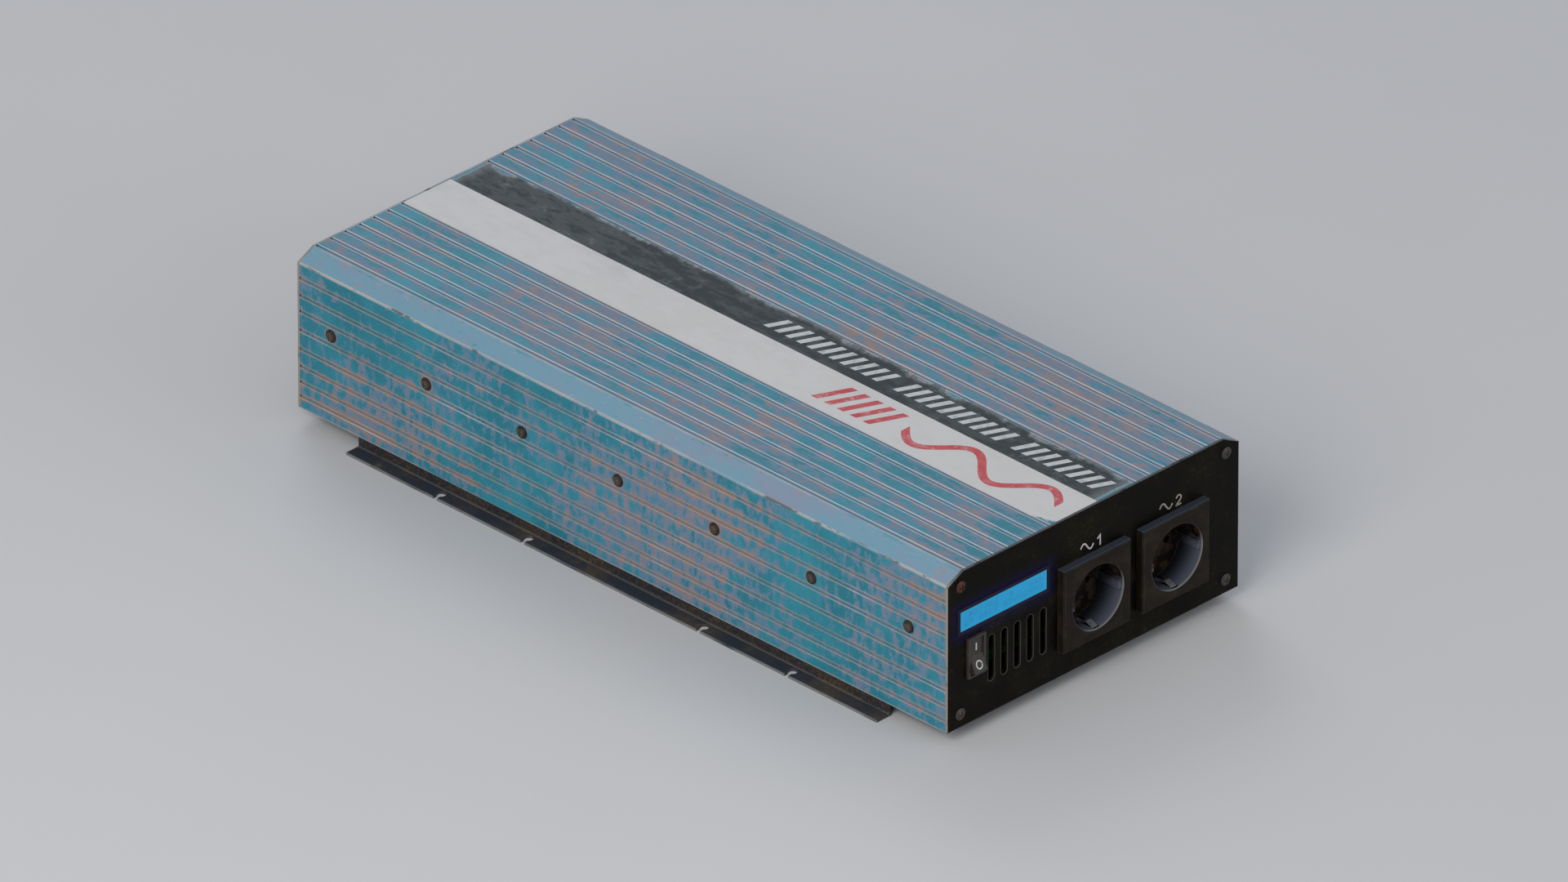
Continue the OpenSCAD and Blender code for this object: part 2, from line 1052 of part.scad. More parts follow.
module terminal_nuts() {
    color("goldenrod")
        both_posts()
            translate([0, 0, post_base + washer_t])
                hex_nut(13, nut_t, stud_r + small_gap / 2);
}

module ground_stud() {
    color("goldenrod")
        on_rear(0, ground_z)
            stud(ground_r, 7, ground_nut_t, ground_out);
}

module ground_nut() {
    color("goldenrod")
        on_rear(0, ground_z)
            hex_nut(10, ground_nut_t, ground_r + small_gap / 2);
}

// ---- inside the case ----

module main_board() {
    color("darkgreen")
        difference() {
            block(0, board_y, board_z, [board_w, board_l, board_t]);
            for (x = [-1, 1], y = standoff_y)
                block_hole(x * standoff_x, y, small_shank_r + small_gap);
        }
}

// Round hole through the main board
module block_hole(x, y, r) {
    translate([x, mid_y + y, foot_h + board_z - 1])
        cylinder(r = r, h = board_t + 2);
}

module board_standoffs() {
    color("goldenrod")
        for (x = [-1, 1], y = standoff_y)
            translate([x * standoff_x, mid_y + y, foot_h + base_t])
                hex_nut(7, board_z - base_t, small_shank_r + small_gap);
}

module board_screws() {
    color("silver")
        for (x = [-1, 1], y = standoff_y)
            translate([x * standoff_x, mid_y + y, foot_h + board_top])
                pan_screw(2.8, 1.7, small_shank_r, 8);
}

// Upright board with its driver and logic chips
module control_board() {
    color("darkgreen") {
        block(82.8, -120, board_top, [board_t, 80, 48]);
        for (y = [-145, -120, -95])
            block(81, y, board_top + 20, [2, 12, 18]);
    }
}

module transformer_cores() {
    core = [56, 22, 54];
    window = [13, core[1] + 2, 36];
    color("#3c3c3e")
        for (p = transformer_places)
            difference() {
                block(p[0], p[1], board_top, core);
                for (side = [-1, 1])
                    block(p[0] + side * 15.5, p[1], board_top + 9, window);
            }
}

module transformer_windings() {
    color("peru")
        for (p = transformer_places)
            difference() {
                block(p[0], p[1], board_top + 9.5, [43, 38, 35]);
                block(p[0], p[1], board_top + 5, [18.4, 22.4, 45]);
            }
}

module output_inductor() {
    color("peru")
        translate([-40, mid_y - 135, foot_h + board_top + 11])
            rotate_extrude()
                translate([22, 0])
                    circle(r = 11);
}

module output_relay() {
    color("#2c2c30")
        block(35, -135, board_top, [30, 28, 25]);
}

// Upright round capacitors, given by X, Y and radius
module capacitor(x, y, r, height) {
    translate([x, mid_y + y, foot_h + board_top])
        cylinder(r = r, h = height);
}

module input_capacitors() {
    color("#26304a")
        for (i = [-2.5 : 2.5], y = [160, 180])
            capacitor(i * 26, y, 8, 30);
}

module bus_capacitors() {
    color("#26304a")
        for (i = [-1.5 : 1.5])
            capacitor(i * 44, -60, 15, 45);
}

module blade_fuses() {
    color("orange")
        for (i = [-3.5 : 3.5])
            block(i * 17, 137, board_top, [5, 19, 20]);
}

// Power transistors on one wall, three between each pair of side screws
module transistor_row(side) {
    package_x = side * (inner_x - pad_t - package_t / 2);
    color("#202022")
        for (i = [0 : side_screws - 2], j = [-1 : 1]) {
            y = side_screw_shift + (i - (side_screws - 2) / 2) * side_screw_pitch + 20 * j;
            block(package_x, y, package_z, [package_t, package_w, package_h]);
            for (k = [-1 : 1])
                block(package_x, y + 5 * k, board_top, [0.7, 1.2, package_z - board_top]);
        }
}

module transistors_left() {
    transistor_row(-1);
}

module transistors_right() {
    transistor_row(1);
}

// Bar that presses a row of transistors to its wall
module clamp_bar(side) {
    bar_x = side * (inner_x - pad_t - package_t - bar_t / 2);
    color("silver")
        difference() {
            block(bar_x, side_screw_shift, side_screw_z - bar_h / 2, [bar_t, bar_l, bar_h]);
            side_holes(side, shank_r + small_gap, 30);
        }
}

module clamp_bar_left() {
    clamp_bar(-1);
}

module clamp_bar_right() {
    clamp_bar(1);
}

// Insulating strip between the transistors and the wall
module thermal_pad(side) {
    pad_x = side * (inner_x - pad_t / 2);
    color("lightgray")
        difference() {
            block(pad_x, side_screw_shift, package_z - 2, [pad_t, bar_l - 10, package_h + 3]);
            side_holes(side, shank_r + 0.5, 30);
        }
}

module thermal_pad_left() {
    thermal_pad(-1);
}

module thermal_pad_right() {
    thermal_pad(1);
}

// Copper angle from each battery stud down to the board
module bus_bars() {
    top_z = foot_h + rear_z + 10;
    foot_z = foot_h + board_top;
    back_y = in_rear_y - 16;
    bar = 3;
    color("chocolate")
        for (side = [-1, 1])
            difference() {
                along_x(side * post_x, 20)
                    polygon([
                        [back_y, foot_z],
                        [back_y, top_z],
                        [back_y - bar, top_z],
                        [back_y - bar, foot_z + bar],
                        [mid_y + 193, foot_z + bar],
                        [mid_y + 193, foot_z]
                    ]);
                on_rear(side * post_x, rear_z)
                    translate([0, 0, -30])
                        cylinder(r = stud_r + small_gap / 2, h = 30);
            }
}

// Wires from the board to both sockets: two poles and an earth
module ac_wires() {
    back_y = front_y + socket_l;
    color("saddlebrown")
        for (x = socket_x, pole = [[-8, 12], [0, 18], [8, 12]]) {
            wire_x = x + pole[0];
            wire_z = foot_h + socket_z - 9;
            wire([
                [wire_x, back_y, wire_z],
                [wire_x, back_y + pole[1], wire_z],
                [wire_x, back_y + pole[1], foot_h + board_top]
            ], 1.6);
        }
}

module fan_wires() {
    color("firebrick")
        for (side = [-1, 1], lead = [-1.5, 1.5]) {
            wire_x = side * fan_x + lead;
            wire_z = foot_h + rear_z - fan_w / 2 + 3;
            wire([
                [wire_x, in_rear_y - fan_deep, wire_z],
                [wire_x, mid_y + 198, wire_z],
                [wire_x, mid_y + 198, foot_h + board_top]
            ], 0.9);
        }
}

module switch_wires() {
    start_y = front_y + switch_deep + 8;
    color("firebrick")
        for (i = [-1, 1]) {
            wire_z = foot_h + switch_z + i * 7;
            turn_y = start_y + 6 + 3 * i;
            wire([
                [switch_x, start_y, wire_z],
                [switch_x, turn_y, wire_z],
                [switch_x, turn_y, foot_h + board_top]
            ], 0.9);
        }
}

// Flat cable from the display's board down to the main board
module display_ribbon() {
    start_y = in_front_y + 7 + board_t;
    drop_y = mid_y - 228;
    top_z = foot_h + display_z - 6;
    low_z = foot_h + board_top;
    t = 0.8;
    color("gray")
        along_x(display_x, 20)
            polygon([
                [start_y, top_z],
                [start_y, top_z + t],
                [drop_y, top_z + t],
                [drop_y, low_z],
                [drop_y - t, low_z],
                [drop_y - t, top_z]
            ]);
}

// ---- nodes ----

housing_shell();
base_plate();
front_panel();
rear_panel();
front_panel_screws();
rear_panel_screws();
side_screws_left();
side_screws_right();
foot_bracket_left();
foot_bracket_right();
bracket_screws();
base_screws();
display_bezel();
display_glass();
display_module();
switch_body();
switch_rocker();
switch_terminals();
socket_1_body();
socket_2_body();
socket_1_earth_clips();
socket_2_earth_clips();
socket_1_contacts();
socket_2_contacts();
fan_1_frame();
fan_2_frame();
fan_1_rotor();
fan_2_rotor();
fan_1_guard();
fan_2_guard();
fan_screws();
terminal_positive();
terminal_negative();
terminal_studs();
terminal_washers();
terminal_nuts();
ground_stud();
ground_nut();
main_board();
board_standoffs();
board_screws();
control_board();
transformer_cores();
transformer_windings();
output_inductor();
output_relay();
input_capacitors();
bus_capacitors();
blade_fuses();
transistors_left();
transistors_right();
clamp_bar_left();
clamp_bar_right();
thermal_pad_left();
thermal_pad_right();
bus_bars();
ac_wires();
fan_wires();
switch_wires();
display_ribbon();
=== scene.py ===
"""Looks of a power inverter: finishes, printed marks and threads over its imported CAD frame."""

import json
import math

import bmesh
import bpy
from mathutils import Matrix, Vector
from mathutils.bvhtree import BVHTree


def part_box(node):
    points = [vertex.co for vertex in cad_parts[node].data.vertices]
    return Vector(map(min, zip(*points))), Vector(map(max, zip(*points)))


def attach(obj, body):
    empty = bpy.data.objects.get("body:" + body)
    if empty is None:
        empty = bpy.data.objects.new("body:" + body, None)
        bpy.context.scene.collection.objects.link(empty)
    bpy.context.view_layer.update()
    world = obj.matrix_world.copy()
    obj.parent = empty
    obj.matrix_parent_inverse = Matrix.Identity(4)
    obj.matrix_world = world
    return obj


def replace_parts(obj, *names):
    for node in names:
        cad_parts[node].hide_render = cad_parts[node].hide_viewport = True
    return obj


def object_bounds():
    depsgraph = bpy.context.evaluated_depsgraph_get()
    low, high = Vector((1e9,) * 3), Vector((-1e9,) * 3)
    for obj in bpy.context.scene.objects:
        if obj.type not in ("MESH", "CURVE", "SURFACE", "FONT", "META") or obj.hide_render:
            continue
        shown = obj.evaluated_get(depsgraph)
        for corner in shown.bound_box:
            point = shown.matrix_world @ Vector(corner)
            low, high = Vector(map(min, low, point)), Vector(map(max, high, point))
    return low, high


MM = 0.001

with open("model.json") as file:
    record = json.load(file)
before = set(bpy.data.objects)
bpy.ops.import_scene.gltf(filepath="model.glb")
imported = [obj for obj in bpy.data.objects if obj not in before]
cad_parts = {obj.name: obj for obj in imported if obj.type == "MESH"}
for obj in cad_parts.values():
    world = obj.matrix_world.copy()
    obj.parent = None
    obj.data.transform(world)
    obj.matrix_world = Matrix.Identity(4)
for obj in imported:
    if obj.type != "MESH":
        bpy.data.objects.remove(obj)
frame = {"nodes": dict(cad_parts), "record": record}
cad_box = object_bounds()


# ---- measures, in millimetres, from the frame ----

def corners(node):
    """Lowest and highest corner of a CAD node."""
    low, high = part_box(node)
    return low / MM, high / MM


def middle(node):
    """Middle of a CAD node's box."""
    low, high = corners(node)
    return (low + high) / 2


SHELL_LOW, SHELL_HIGH = corners("housing_shell")
HALF_WIDTH = SHELL_HIGH.x
TOP = SHELL_HIGH.z
BOTTOM = SHELL_LOW.z
FRONT = corners("front_panel")[0].y
BEVEL_WIDTH = 12.0
BEVEL_HEIGHT = 6.0
GROOVE_DEPTH = 0.9
GROOVE_HALF = 1.2
RECESS_RADIUS = 19.9
STUD_CLEARANCE = 0.03


def groove_middles(level_axis, level, along):
    """Middles of the case's grooves along one axis, from the two edges of each groove's floor."""
    mesh = frame["nodes"]["housing_shell"].data
    on_floor = [v.co / MM for v in mesh.vertices if abs(v.co[level_axis] / MM - level) < 0.02]
    edges = sorted({round(place[along], 2) for place in on_floor})
    return [(a + b) / 2 for a, b in zip(edges[::2], edges[1::2])]


SIDE_GROOVES = groove_middles(0, HALF_WIDTH - GROOVE_DEPTH, 2)
TOP_GROOVES = [x for x in groove_middles(2, TOP - GROOVE_DEPTH, 0) if x > 0]


# ---- node graphs ----

def rgb(red, green, blue):
    """A colour as it looks on a screen, 0 to 255, turned into the linear colour that nodes take."""
    def linear(level):
        level /= 255
        return level / 12.92 if level <= 0.04045 else ((level + 0.055) / 1.055) ** 2.4
    return (linear(red), linear(green), linear(blue), 1.0)


class Field:
    """A number that varies over a surface, which takes part in formulas like a plain number."""

    def __init__(self, graph, socket):
        self.graph = graph
        self.socket = socket

    def __add__(self, other):
        return self.graph.math("ADD", self, other)

    def __radd__(self, other):
        return self.graph.math("ADD", other, self)

    def __sub__(self, other):
        return self.graph.math("SUBTRACT", self, other)

    def __rsub__(self, other):
        return self.graph.math("SUBTRACT", other, self)

    def __mul__(self, other):
        return self.graph.math("MULTIPLY", self, other)

    def __rmul__(self, other):
        return self.graph.math("MULTIPLY", other, self)

    def __abs__(self):
        return self.graph.math("ABSOLUTE", self)


class Graph:
    """The nodes of one material. Lengths are in millimetres, in the whole object's frame."""

    def __init__(self, name):
        self.material = bpy.data.materials.new(name)
        self.material.use_nodes = True
        self.tree = self.material.node_tree
        self.tree.nodes.clear()
        self.shader = self.node("ShaderNodeBsdfPrincipled")
        output = self.node("ShaderNodeOutputMaterial")
        self.tree.links.new(self.shader.outputs["BSDF"], output.inputs["Surface"])
        metres = self.node("ShaderNodeTexCoord").outputs["Object"]
        self.place = self.stretched(metres, (1 / MM, 1 / MM, 1 / MM), 0.0)
        split = self.node("ShaderNodeSeparateXYZ")
        self.feed(split.inputs[0], self.place)
        self.x, self.y, self.z = (Field(self, socket) for socket in split.outputs)

    def node(self, kind, **settings):
        """Adds a node and gives it its settings."""
        made = self.tree.nodes.new(kind)
        for key, value in settings.items():
            setattr(made, key, value)
        return made

    def feed(self, socket, value):
        """Gives a socket a constant, or links it to another socket."""
        if isinstance(value, Field):
            value = value.socket
        if isinstance(value, bpy.types.NodeSocket):
            self.tree.links.new(value, socket)
        else:
            socket.default_value = value

    def math(self, operation, *values):
        """The result of a math node."""
        made = self.node("ShaderNodeMath", operation=operation)
        for socket, value in zip(made.inputs, values):
            self.feed(socket, value)
        return Field(self, made.outputs[0])

    def least(self, first, *others):
        """The smallest of some values."""
        for other in others:
            first = self.math("MINIMUM", first, other)
        return first

    def most(self, first, *others):
        """The largest of some values."""
        for other in others:
            first = self.math("MAXIMUM", first, other)
        return first

    def stretched(self, vector, factors, shift):
        """A place multiplied along each axis, and moved by shift along all three."""
        made = self.node("ShaderNodeVectorMath", operation="MULTIPLY_ADD")
        self.feed(made.inputs[0], vector)
        made.inputs[1].default_value = factors
        made.inputs[2].default_value = (shift, shift, shift)
        return made.outputs[0]

    def rise(self, value, low, high):
        """0 at low and 1 at high, with a smooth step between them. low may be the larger one."""
        made = self.node("ShaderNodeMapRange", interpolation_type="SMOOTHSTEP")
        for name, number in (("Value", value), ("From Min", low), ("From Max", high)):
            self.feed(made.inputs[name], number)
        return Field(self, made.outputs[0])

    def noise(self, size, stretch=(1, 1, 1), detail=5.0, rough=0.6, shift=0.0, warp=0.0):
        """Noise from 0 to 1, in blotches about size across, longer where stretch is over 1."""
        made = self.node("ShaderNodeTexNoise")
        factors = [1 / (size * s) for s in stretch]
        self.feed(made.inputs["Vector"], self.stretched(self.place, factors, shift))
        settings = {"Scale": 1.0, "Detail": detail, "Roughness": rough, "Distortion": warp}
        for name, number in settings.items():
            made.inputs[name].default_value = number
        return Field(self, made.outputs[0])

    def specks(self, size, share, shift=0.0, stretch=(1, 1, 1)):
        """1 inside scattered round spots, which cover more of the surface as share grows."""
        made = self.node("ShaderNodeTexVoronoi", feature="F1")
        factors = [1 / (size * s) for s in stretch]
        self.feed(made.inputs["Vector"], self.stretched(self.place, factors, shift))
        made.inputs["Scale"].default_value = 1.0
        return self.rise(Field(self, made.outputs["Distance"]), share, share * 0.6)

    def tint(self, amount, below, above):
        """The colour below where amount is 0, and above where it is 1."""
        made = self.node("ShaderNodeMix", data_type="RGBA")
        self.feed(made.inputs[0], amount)
        self.feed(made.inputs[6], below)
        self.feed(made.inputs[7], above)
        return made.outputs[2]

    def blend(self, amount, below, above):
        """The number below where amount is 0, and above where it is 1."""
        made = self.node("ShaderNodeMix", data_type="FLOAT")
        self.feed(made.inputs[0], amount)
        self.feed(made.inputs[2], below)
        self.feed(made.inputs[3], above)
        return Field(self, made.outputs[0])

    def edges(self, radius):
        """1 along sharp edges and 0 on open faces, from how far a rounded normal turns."""
        rounded = self.node("ShaderNodeBevel", samples=4)
        rounded.inputs["Radius"].default_value = radius * MM
        turn = self.node("ShaderNodeVectorMath", operation="DOT_PRODUCT")
        self.feed(turn.inputs[0], rounded.outputs[0])
        self.feed(turn.inputs[1], self.node("ShaderNodeNewGeometry").outputs["Normal"])
        return self.rise(Field(self, turn.outputs["Value"]), 0.99, 0.86)

    def bump(self, height, depth):
        """Raises the surface by depth where height is 1."""
        made = self.node("ShaderNodeBump")
        made.inputs["Distance"].default_value = depth * MM
        self.feed(made.inputs["Height"], height)
        self.feed(self.shader.inputs["Normal"], made.outputs[0])

    def finish(self, color, roughness, metallic=0.0):
        """Sets what the shader shows, and returns the finished material."""
        self.feed(self.shader.inputs["Base Color"], color)
        self.feed(self.shader.inputs["Roughness"], roughness)
        self.feed(self.shader.inputs["Metallic"], metallic)
        return self.material


def case_depths(g):
    """How deep a point lies under the case's side, top and bevelled edge."""
    slope = math.hypot(BEVEL_WIDTH, BEVEL_HEIGHT)
    side = HALF_WIDTH - abs(g.x)
    top = TOP - g.z
    from_corner = side * (BEVEL_HEIGHT / slope) + top * (BEVEL_WIDTH / slope)
    return side, top, from_corner - BEVEL_WIDTH * BEVEL_HEIGHT / slope


# ---- materials: the painted case ----

PAINT_DEEP = rgb(30, 120, 138)
PAINT_LIGHT = rgb(46, 138, 157)
PAINT_SPECK = rgb(96, 168, 184)
WORN_BLUE = rgb(100, 132, 157)
WORN_MAUVE = rgb(122, 129, 147)
WORN_ROSE = rgb(144, 132, 134)
GRIME = rgb(88, 92, 106)
RUST = rgb(152, 124, 108)
RUST_DARK = rgb(92, 76, 64)
BARE = rgb(196, 196, 194)
BEVEL_BLUE = rgb(116, 156, 176)
BEVEL_LILAC = rgb(132, 148, 170)
STRIPE_WHITE = rgb(204, 203, 203)
STRIPE_GREY = rgb(160, 164, 166)
STRIPE_BLACK = rgb(44, 52, 56)
STRIPE_DUST = rgb(108, 119, 121)
MARK_RED = rgb(190, 44, 54)
MARK_WHITE = rgb(204, 206, 208)
INSIDE_METAL = rgb(120, 124, 128)


def groove_gap(g, value, middles):
    """Distance to the nearest groove's middle."""
    return g.least(*[abs(value - place) for place in middles])


def screw_gap(g):
    """Distance to the nearest side screw's middle."""
    low, high = corners("side_screws_left")
    head = (high.z - low.z) / 2
    first, last, gaps = low.y + head, high.y - head, 6
    pitch = (last - first) / gaps
    along = g.math("PINGPONG", g.y - first, pitch / 2)
    level = g.z - (low.z + high.z) / 2
    return g.math("SQRT", along * along + level * level)


def wear_level(g, on_top, gap):
    """How far the paint is worn: lengthwise streaks on top, and upright mottles on the sides."""
    clouds = g.noise(120, detail=2, shift=3)
    streaks = g.noise(5, (1, 3.2, 1), detail=8, rough=0.68, shift=1, warp=0.3)
    mottles = g.noise(4.4, (1, 1, 1.9), detail=9, rough=0.72, shift=11)
    top_wear = streaks + clouds * 0.45 + g.rise(gap, 3.2, 1.2) * 0.07 - 0.205
    side_wear = mottles + clouds * 0.5 + g.rise(gap, 4.5, 1.2) * 0.05 - 0.275
    return g.blend(on_top, side_wear, top_wear)


def blue_paint(g, wear):
    """The blue coat, thinning to grey blue and then to a mauve undercoat as wear grows."""
    blue = g.tint(g.rise(g.noise(44, detail=4), 0.35, 0.65), PAINT_DEEP, PAINT_LIGHT)
    deep = g.rise(g.noise(2.2, (1, 1, 2), detail=5, shift=7), 0.5, 0.72)
    blue = g.tint(deep * 0.5, blue, PAINT_DEEP)
    blue = g.tint(g.specks(3.4, 0.17, 18) * 0.45, blue, PAINT_SPECK)
    thin = g.tint(g.rise(wear, 0.46, 0.55), blue, WORN_BLUE)
    rosy = g.rise(g.noise(6, (1, 2.5, 1), detail=6, shift=21), 0.4, 0.65)
    grimy = g.rise(g.noise(1.6, detail=4, rough=0.7, shift=23), 0.54, 0.7)
    mauve = g.tint(grimy * 0.35, g.tint(rosy, WORN_MAUVE, WORN_ROSE), GRIME)
    return g.tint(g.rise(wear, 0.54, 0.64), thin, mauve)


def rust_amount(g, wear, on_top, gap):
    """Rust where the paint is most worn, along the grooves, and in a ring round each side screw."""
    fine = g.noise(3.4, (1, 1.8, 1), detail=7, rough=0.7, shift=40)
    clouds = g.noise(90, (1, 1.4, 1), detail=2, shift=31)
    beside = g.rise(gap, 3.6, 1.4) * g.blend(on_top, 0.11, 0.03)
    patches = g.rise(fine * 0.5 + wear * 0.5 + clouds * 0.6 + beside, 0.93, 1.02)
    ring = g.rise(screw_gap(g) + fine * 3.0, 7.4, 6.4) * (1.0 - on_top)
    return g.most(patches * 0.8, ring * g.rise(clouds, 0.4, 0.6) * 0.7)


def groove_lines(g, color, gap, on_top, broken, free):
    """Lips along each groove, rubbed bare and lightened further by a painted highlight, pale on top
    and tan on the sides, and dust between them that also paints light on the shaded groove floor.
    """
    # painted highlight and wear: thin light lines along both lips of each groove
    lip = g.rise(abs(gap - GROOVE_HALF - 0.12), 0.36, 0.08) * free
    rusty = g.rise(g.noise(40, (1, 2, 1), detail=4, shift=96), 0.28, 0.48) * (1.0 - on_top * 0.8)
    lip_color = g.tint(rusty * 0.85, rgb(218, 228, 234), rgb(184, 156, 134))
    # dust and painted light: the groove floor is tinted lighter than the paint, to offset its shade
    dust = g.rise(gap, 1.2, 1.0) * free * g.blend(on_top, 0.3, 0.5)
    color = g.tint(dust, color, g.tint(on_top, rgb(122, 118, 108), rgb(108, 130, 148)))
    return g.tint(lip * (broken * 0.3 + g.blend(on_top, 0.42, 0.7)), color, lip_color)


def stripe_masks(g, top):
    """The white and the black printed stripe, with ragged ends and a chipped outer edge."""
    middle_x, half = 4.3, 34.25
    skin = g.rise(top, 0.6, 0.3)
    ragged = g.noise(7, detail=8, rough=0.72, shift=50)
    from_front = g.y - SHELL_LOW.y
    from_end = g.least(from_front, SHELL_HIGH.y - g.y)
    corner = g.rise(g.x + from_front * 0.35 + half - ragged * 12.0, -1.0, 1.0)
    white = g.rise(g.x, -half, 0.15 - half) * g.rise(g.x, middle_x, middle_x - 0.15) * corner
    fine = g.noise(2.4, detail=8, rough=0.75, shift=52)
    bites = g.rise(g.noise(34, detail=4, shift=57), 0.42, 0.72) * 5.0
    chips = bites + (ragged - 0.38) * 9.0 + (fine - 0.5) * 3.0
    rim = half - g.most(chips, 0.0) - g.x
    black = g.rise(g.x, middle_x - 0.15, middle_x) * g.rise(rim, -1.0, 0.4)
    black = black * g.rise(from_end - ragged * 5.0, -1.6, 0.4)
    fray = g.most(g.rise(rim, 3.6, -0.4), g.rise(from_end + ragged * 8.0, 16, 4) * 0.75)
    dust = g.most(g.rise(g.noise(13, detail=8, rough=0.72, shift=63), 0.54, 0.72) * 0.6, fray)
    return white * skin, black * skin, dust


def printed_wave(g):
    """A thick sine wave, the plain sign for alternating current, on the white stripe."""
    start, length, waves = 12.0, 118.0, 2.0
    middle_x, swing, half_stroke = -13.6, 9.6, 2.5
    along = g.y - (SHELL_LOW.y + start)
    turn = along * (waves * math.tau / length)
    slope = g.math("COSINE", turn) * (swing * waves * math.tau / length)
    off = abs(g.x - middle_x - g.math("SINE", turn) * swing)
    straight = off * g.math("POWER", slope * slope + 1.0, -0.5)
    inside = g.rise(along, -0.2, 0.2) * g.rise(along, length + 0.2, length - 0.2)
    return g.rise(straight, half_stroke + 0.2, half_stroke - 0.2) * inside


def printed_bars(g, low_x, high_x, start, length, pitch, width):
    """A row of slanting bars across a stripe."""
    lean = 0.45
    along = g.y - (SHELL_LOW.y + start) + (g.x - low_x) * lean
    off = g.math("PINGPONG", along, pitch / 2)
    across = g.rise(g.x, low_x - 0.2, low_x + 0.2) * g.rise(g.x, high_x + 0.2, high_x - 0.2)
    inside = g.rise(along, -pitch / 2, 0.4 - pitch / 2) * g.rise(along, length + 0.2, length - 0.2)
    return g.rise(off, width / 2 + 0.2, width / 2 - 0.2) * across * inside


def stripes(g, color, top):
    """Lays the printed stripes and their plain graphics over the paint."""
    white, black, dust = stripe_masks(g, top)
    ink = g.rise(g.noise(5, detail=8, rough=0.75, shift=70), 0.62, 0.5)
    smudge = g.rise(g.noise(38, (1, 2, 1), detail=7, shift=77), 0.45, 0.8) * 0.35
    pale = g.tint(smudge, STRIPE_WHITE, STRIPE_GREY)
    red = g.most(printed_wave(g), printed_bars(g, -24.6, -2.6, 150, 45, 10.0, 5.0))
    pale = g.tint(red * (ink * 0.3 + 0.62), pale, MARK_RED)
    dark = g.tint(dust, STRIPE_BLACK, STRIPE_DUST)
    rows = [printed_bars(g, 12.0, 25.4, start, length, 8.4, 4.2)
            for start, length in ((14, 62), (88, 80), (180, 88))]
    dark = g.tint(g.most(*rows) * (ink * 0.3 + 0.62), dark, MARK_WHITE)
    printed = g.most(white, black)
    return g.tint(printed, color, g.tint(black, pale, dark)), printed


def rubbed_edges(g, side, top, bevel, broken):
    """Bare metal along the case's long edges, with dark gaps where the lower one is whole."""
    outer = g.rise(g.most(side, abs(bevel)), 1.3, 0.4)
    inner = g.rise(g.most(top, abs(bevel)), 0.6, 0.25) * 0.45
    foot = g.rise(g.most(side, abs(g.z - BOTTOM)), 1.0, 0.4) * 0.6
    gap = g.rise(g.noise(9, (1, 3, 1), detail=6, rough=0.7, shift=88), 0.54, 0.6) * outer
    return g.most(outer, inner, foot) * (broken * 0.75 + 0.2) * (1.0 - gap), gap


def bevel_color(g, top):
    """The long bevels: blue, lilac and rose clouds, white flecks, and chips at the upper edge."""
    lilac = g.rise(g.noise(24, (1, 2, 1), detail=7, shift=85), 0.42, 0.62)
    pale = g.tint(lilac, BEVEL_BLUE, BEVEL_LILAC)
    rosy = g.rise(g.noise(13, detail=7, rough=0.65, shift=84), 0.56, 0.68) * 0.5
    pale = g.tint(rosy, pale, rgb(152, 142, 150))
    upper = g.rise(top, 1.6, 0.0) * 0.16
    chips = g.rise(g.noise(5, (1, 2.2, 1), detail=8, rough=0.72, shift=86) + upper, 0.61, 0.66)
    pale = g.tint(chips * 0.5, pale, PAINT_LIGHT)
    flecks = g.rise(g.noise(2.2, (1, 3, 1), detail=6, rough=0.7, shift=83), 0.63, 0.7)
    return g.tint(flecks * 0.55, pale, BARE)


def case_paint():
    """The case: worn paint, rust, stripes and rubbed edges outside, and plain metal inside."""
    g = Graph("worn_case_paint")
    side, top, bevel = case_depths(g)
    depth = g.least(side, top, bevel)
    on_top = g.rise(top, 1.2, 1.0) * g.rise(bevel, -0.1, 0.3)
    on_bevel = g.rise(bevel + g.noise(6, (1, 3, 1), detail=6, shift=89) * 0.5, 0.55, 0.4)
    gap = g.blend(on_top, groove_gap(g, g.z, SIDE_GROOVES), groove_gap(g, abs(g.x), TOP_GROOVES))
    broken = g.rise(g.noise(26, (1, 3, 1), detail=6, shift=90), 0.34, 0.56)

    wear = wear_level(g, on_top, gap)
    rust = rust_amount(g, wear, on_top, gap)
    color = g.tint(rust, blue_paint(g, wear), g.tint(g.noise(4, shift=80) * 0.7, RUST, WORN_ROSE))
    color = g.tint(on_bevel, color, bevel_color(g, top))
    color, printed = stripes(g, color, top)
    free = (1.0 - on_bevel) * (1.0 - printed)
    color = groove_lines(g, color, gap, on_top, broken, free)
    # grime and painted shade: a dark ring just outside each side screw's head, where it meets the
    # case
    ring_grime_and_shade = g.rise(screw_gap(g), 4.2, 3.8) * (1.0 - on_top) * free
    color = g.tint(ring_grime_and_shade * 0.9, color, rgb(52, 42, 36))

    bare, gaps = rubbed_edges(g, side, top, bevel, broken)
    color = g.tint(gaps * 0.7, color, RUST_DARK)
    color = g.tint(bare, color, BARE)
    inside = g.rise(depth, 1.5, 2.2)
    color = g.tint(inside, color, g.tint(g.noise(12, (1, 6, 1)), INSIDE_METAL, WORN_MAUVE))

    chipped = g.most(g.rise(wear, 0.48, 0.6) * 0.7, rust, bare)
    grain = g.noise(0.9, detail=3, shift=5)
    rough = g.blend(chipped, grain * 0.15 + 0.4, grain * 0.2 + 0.62)
    g.bump(grain * 0.12 - chipped * (1.0 - printed) * 0.6, 0.12)
    g.shader.inputs["Specular IOR Level"].default_value = 0.35
    return g.finish(color, g.blend(inside, rough, 0.45), g.most(bare * 0.6, inside))


# ---- materials: families ----

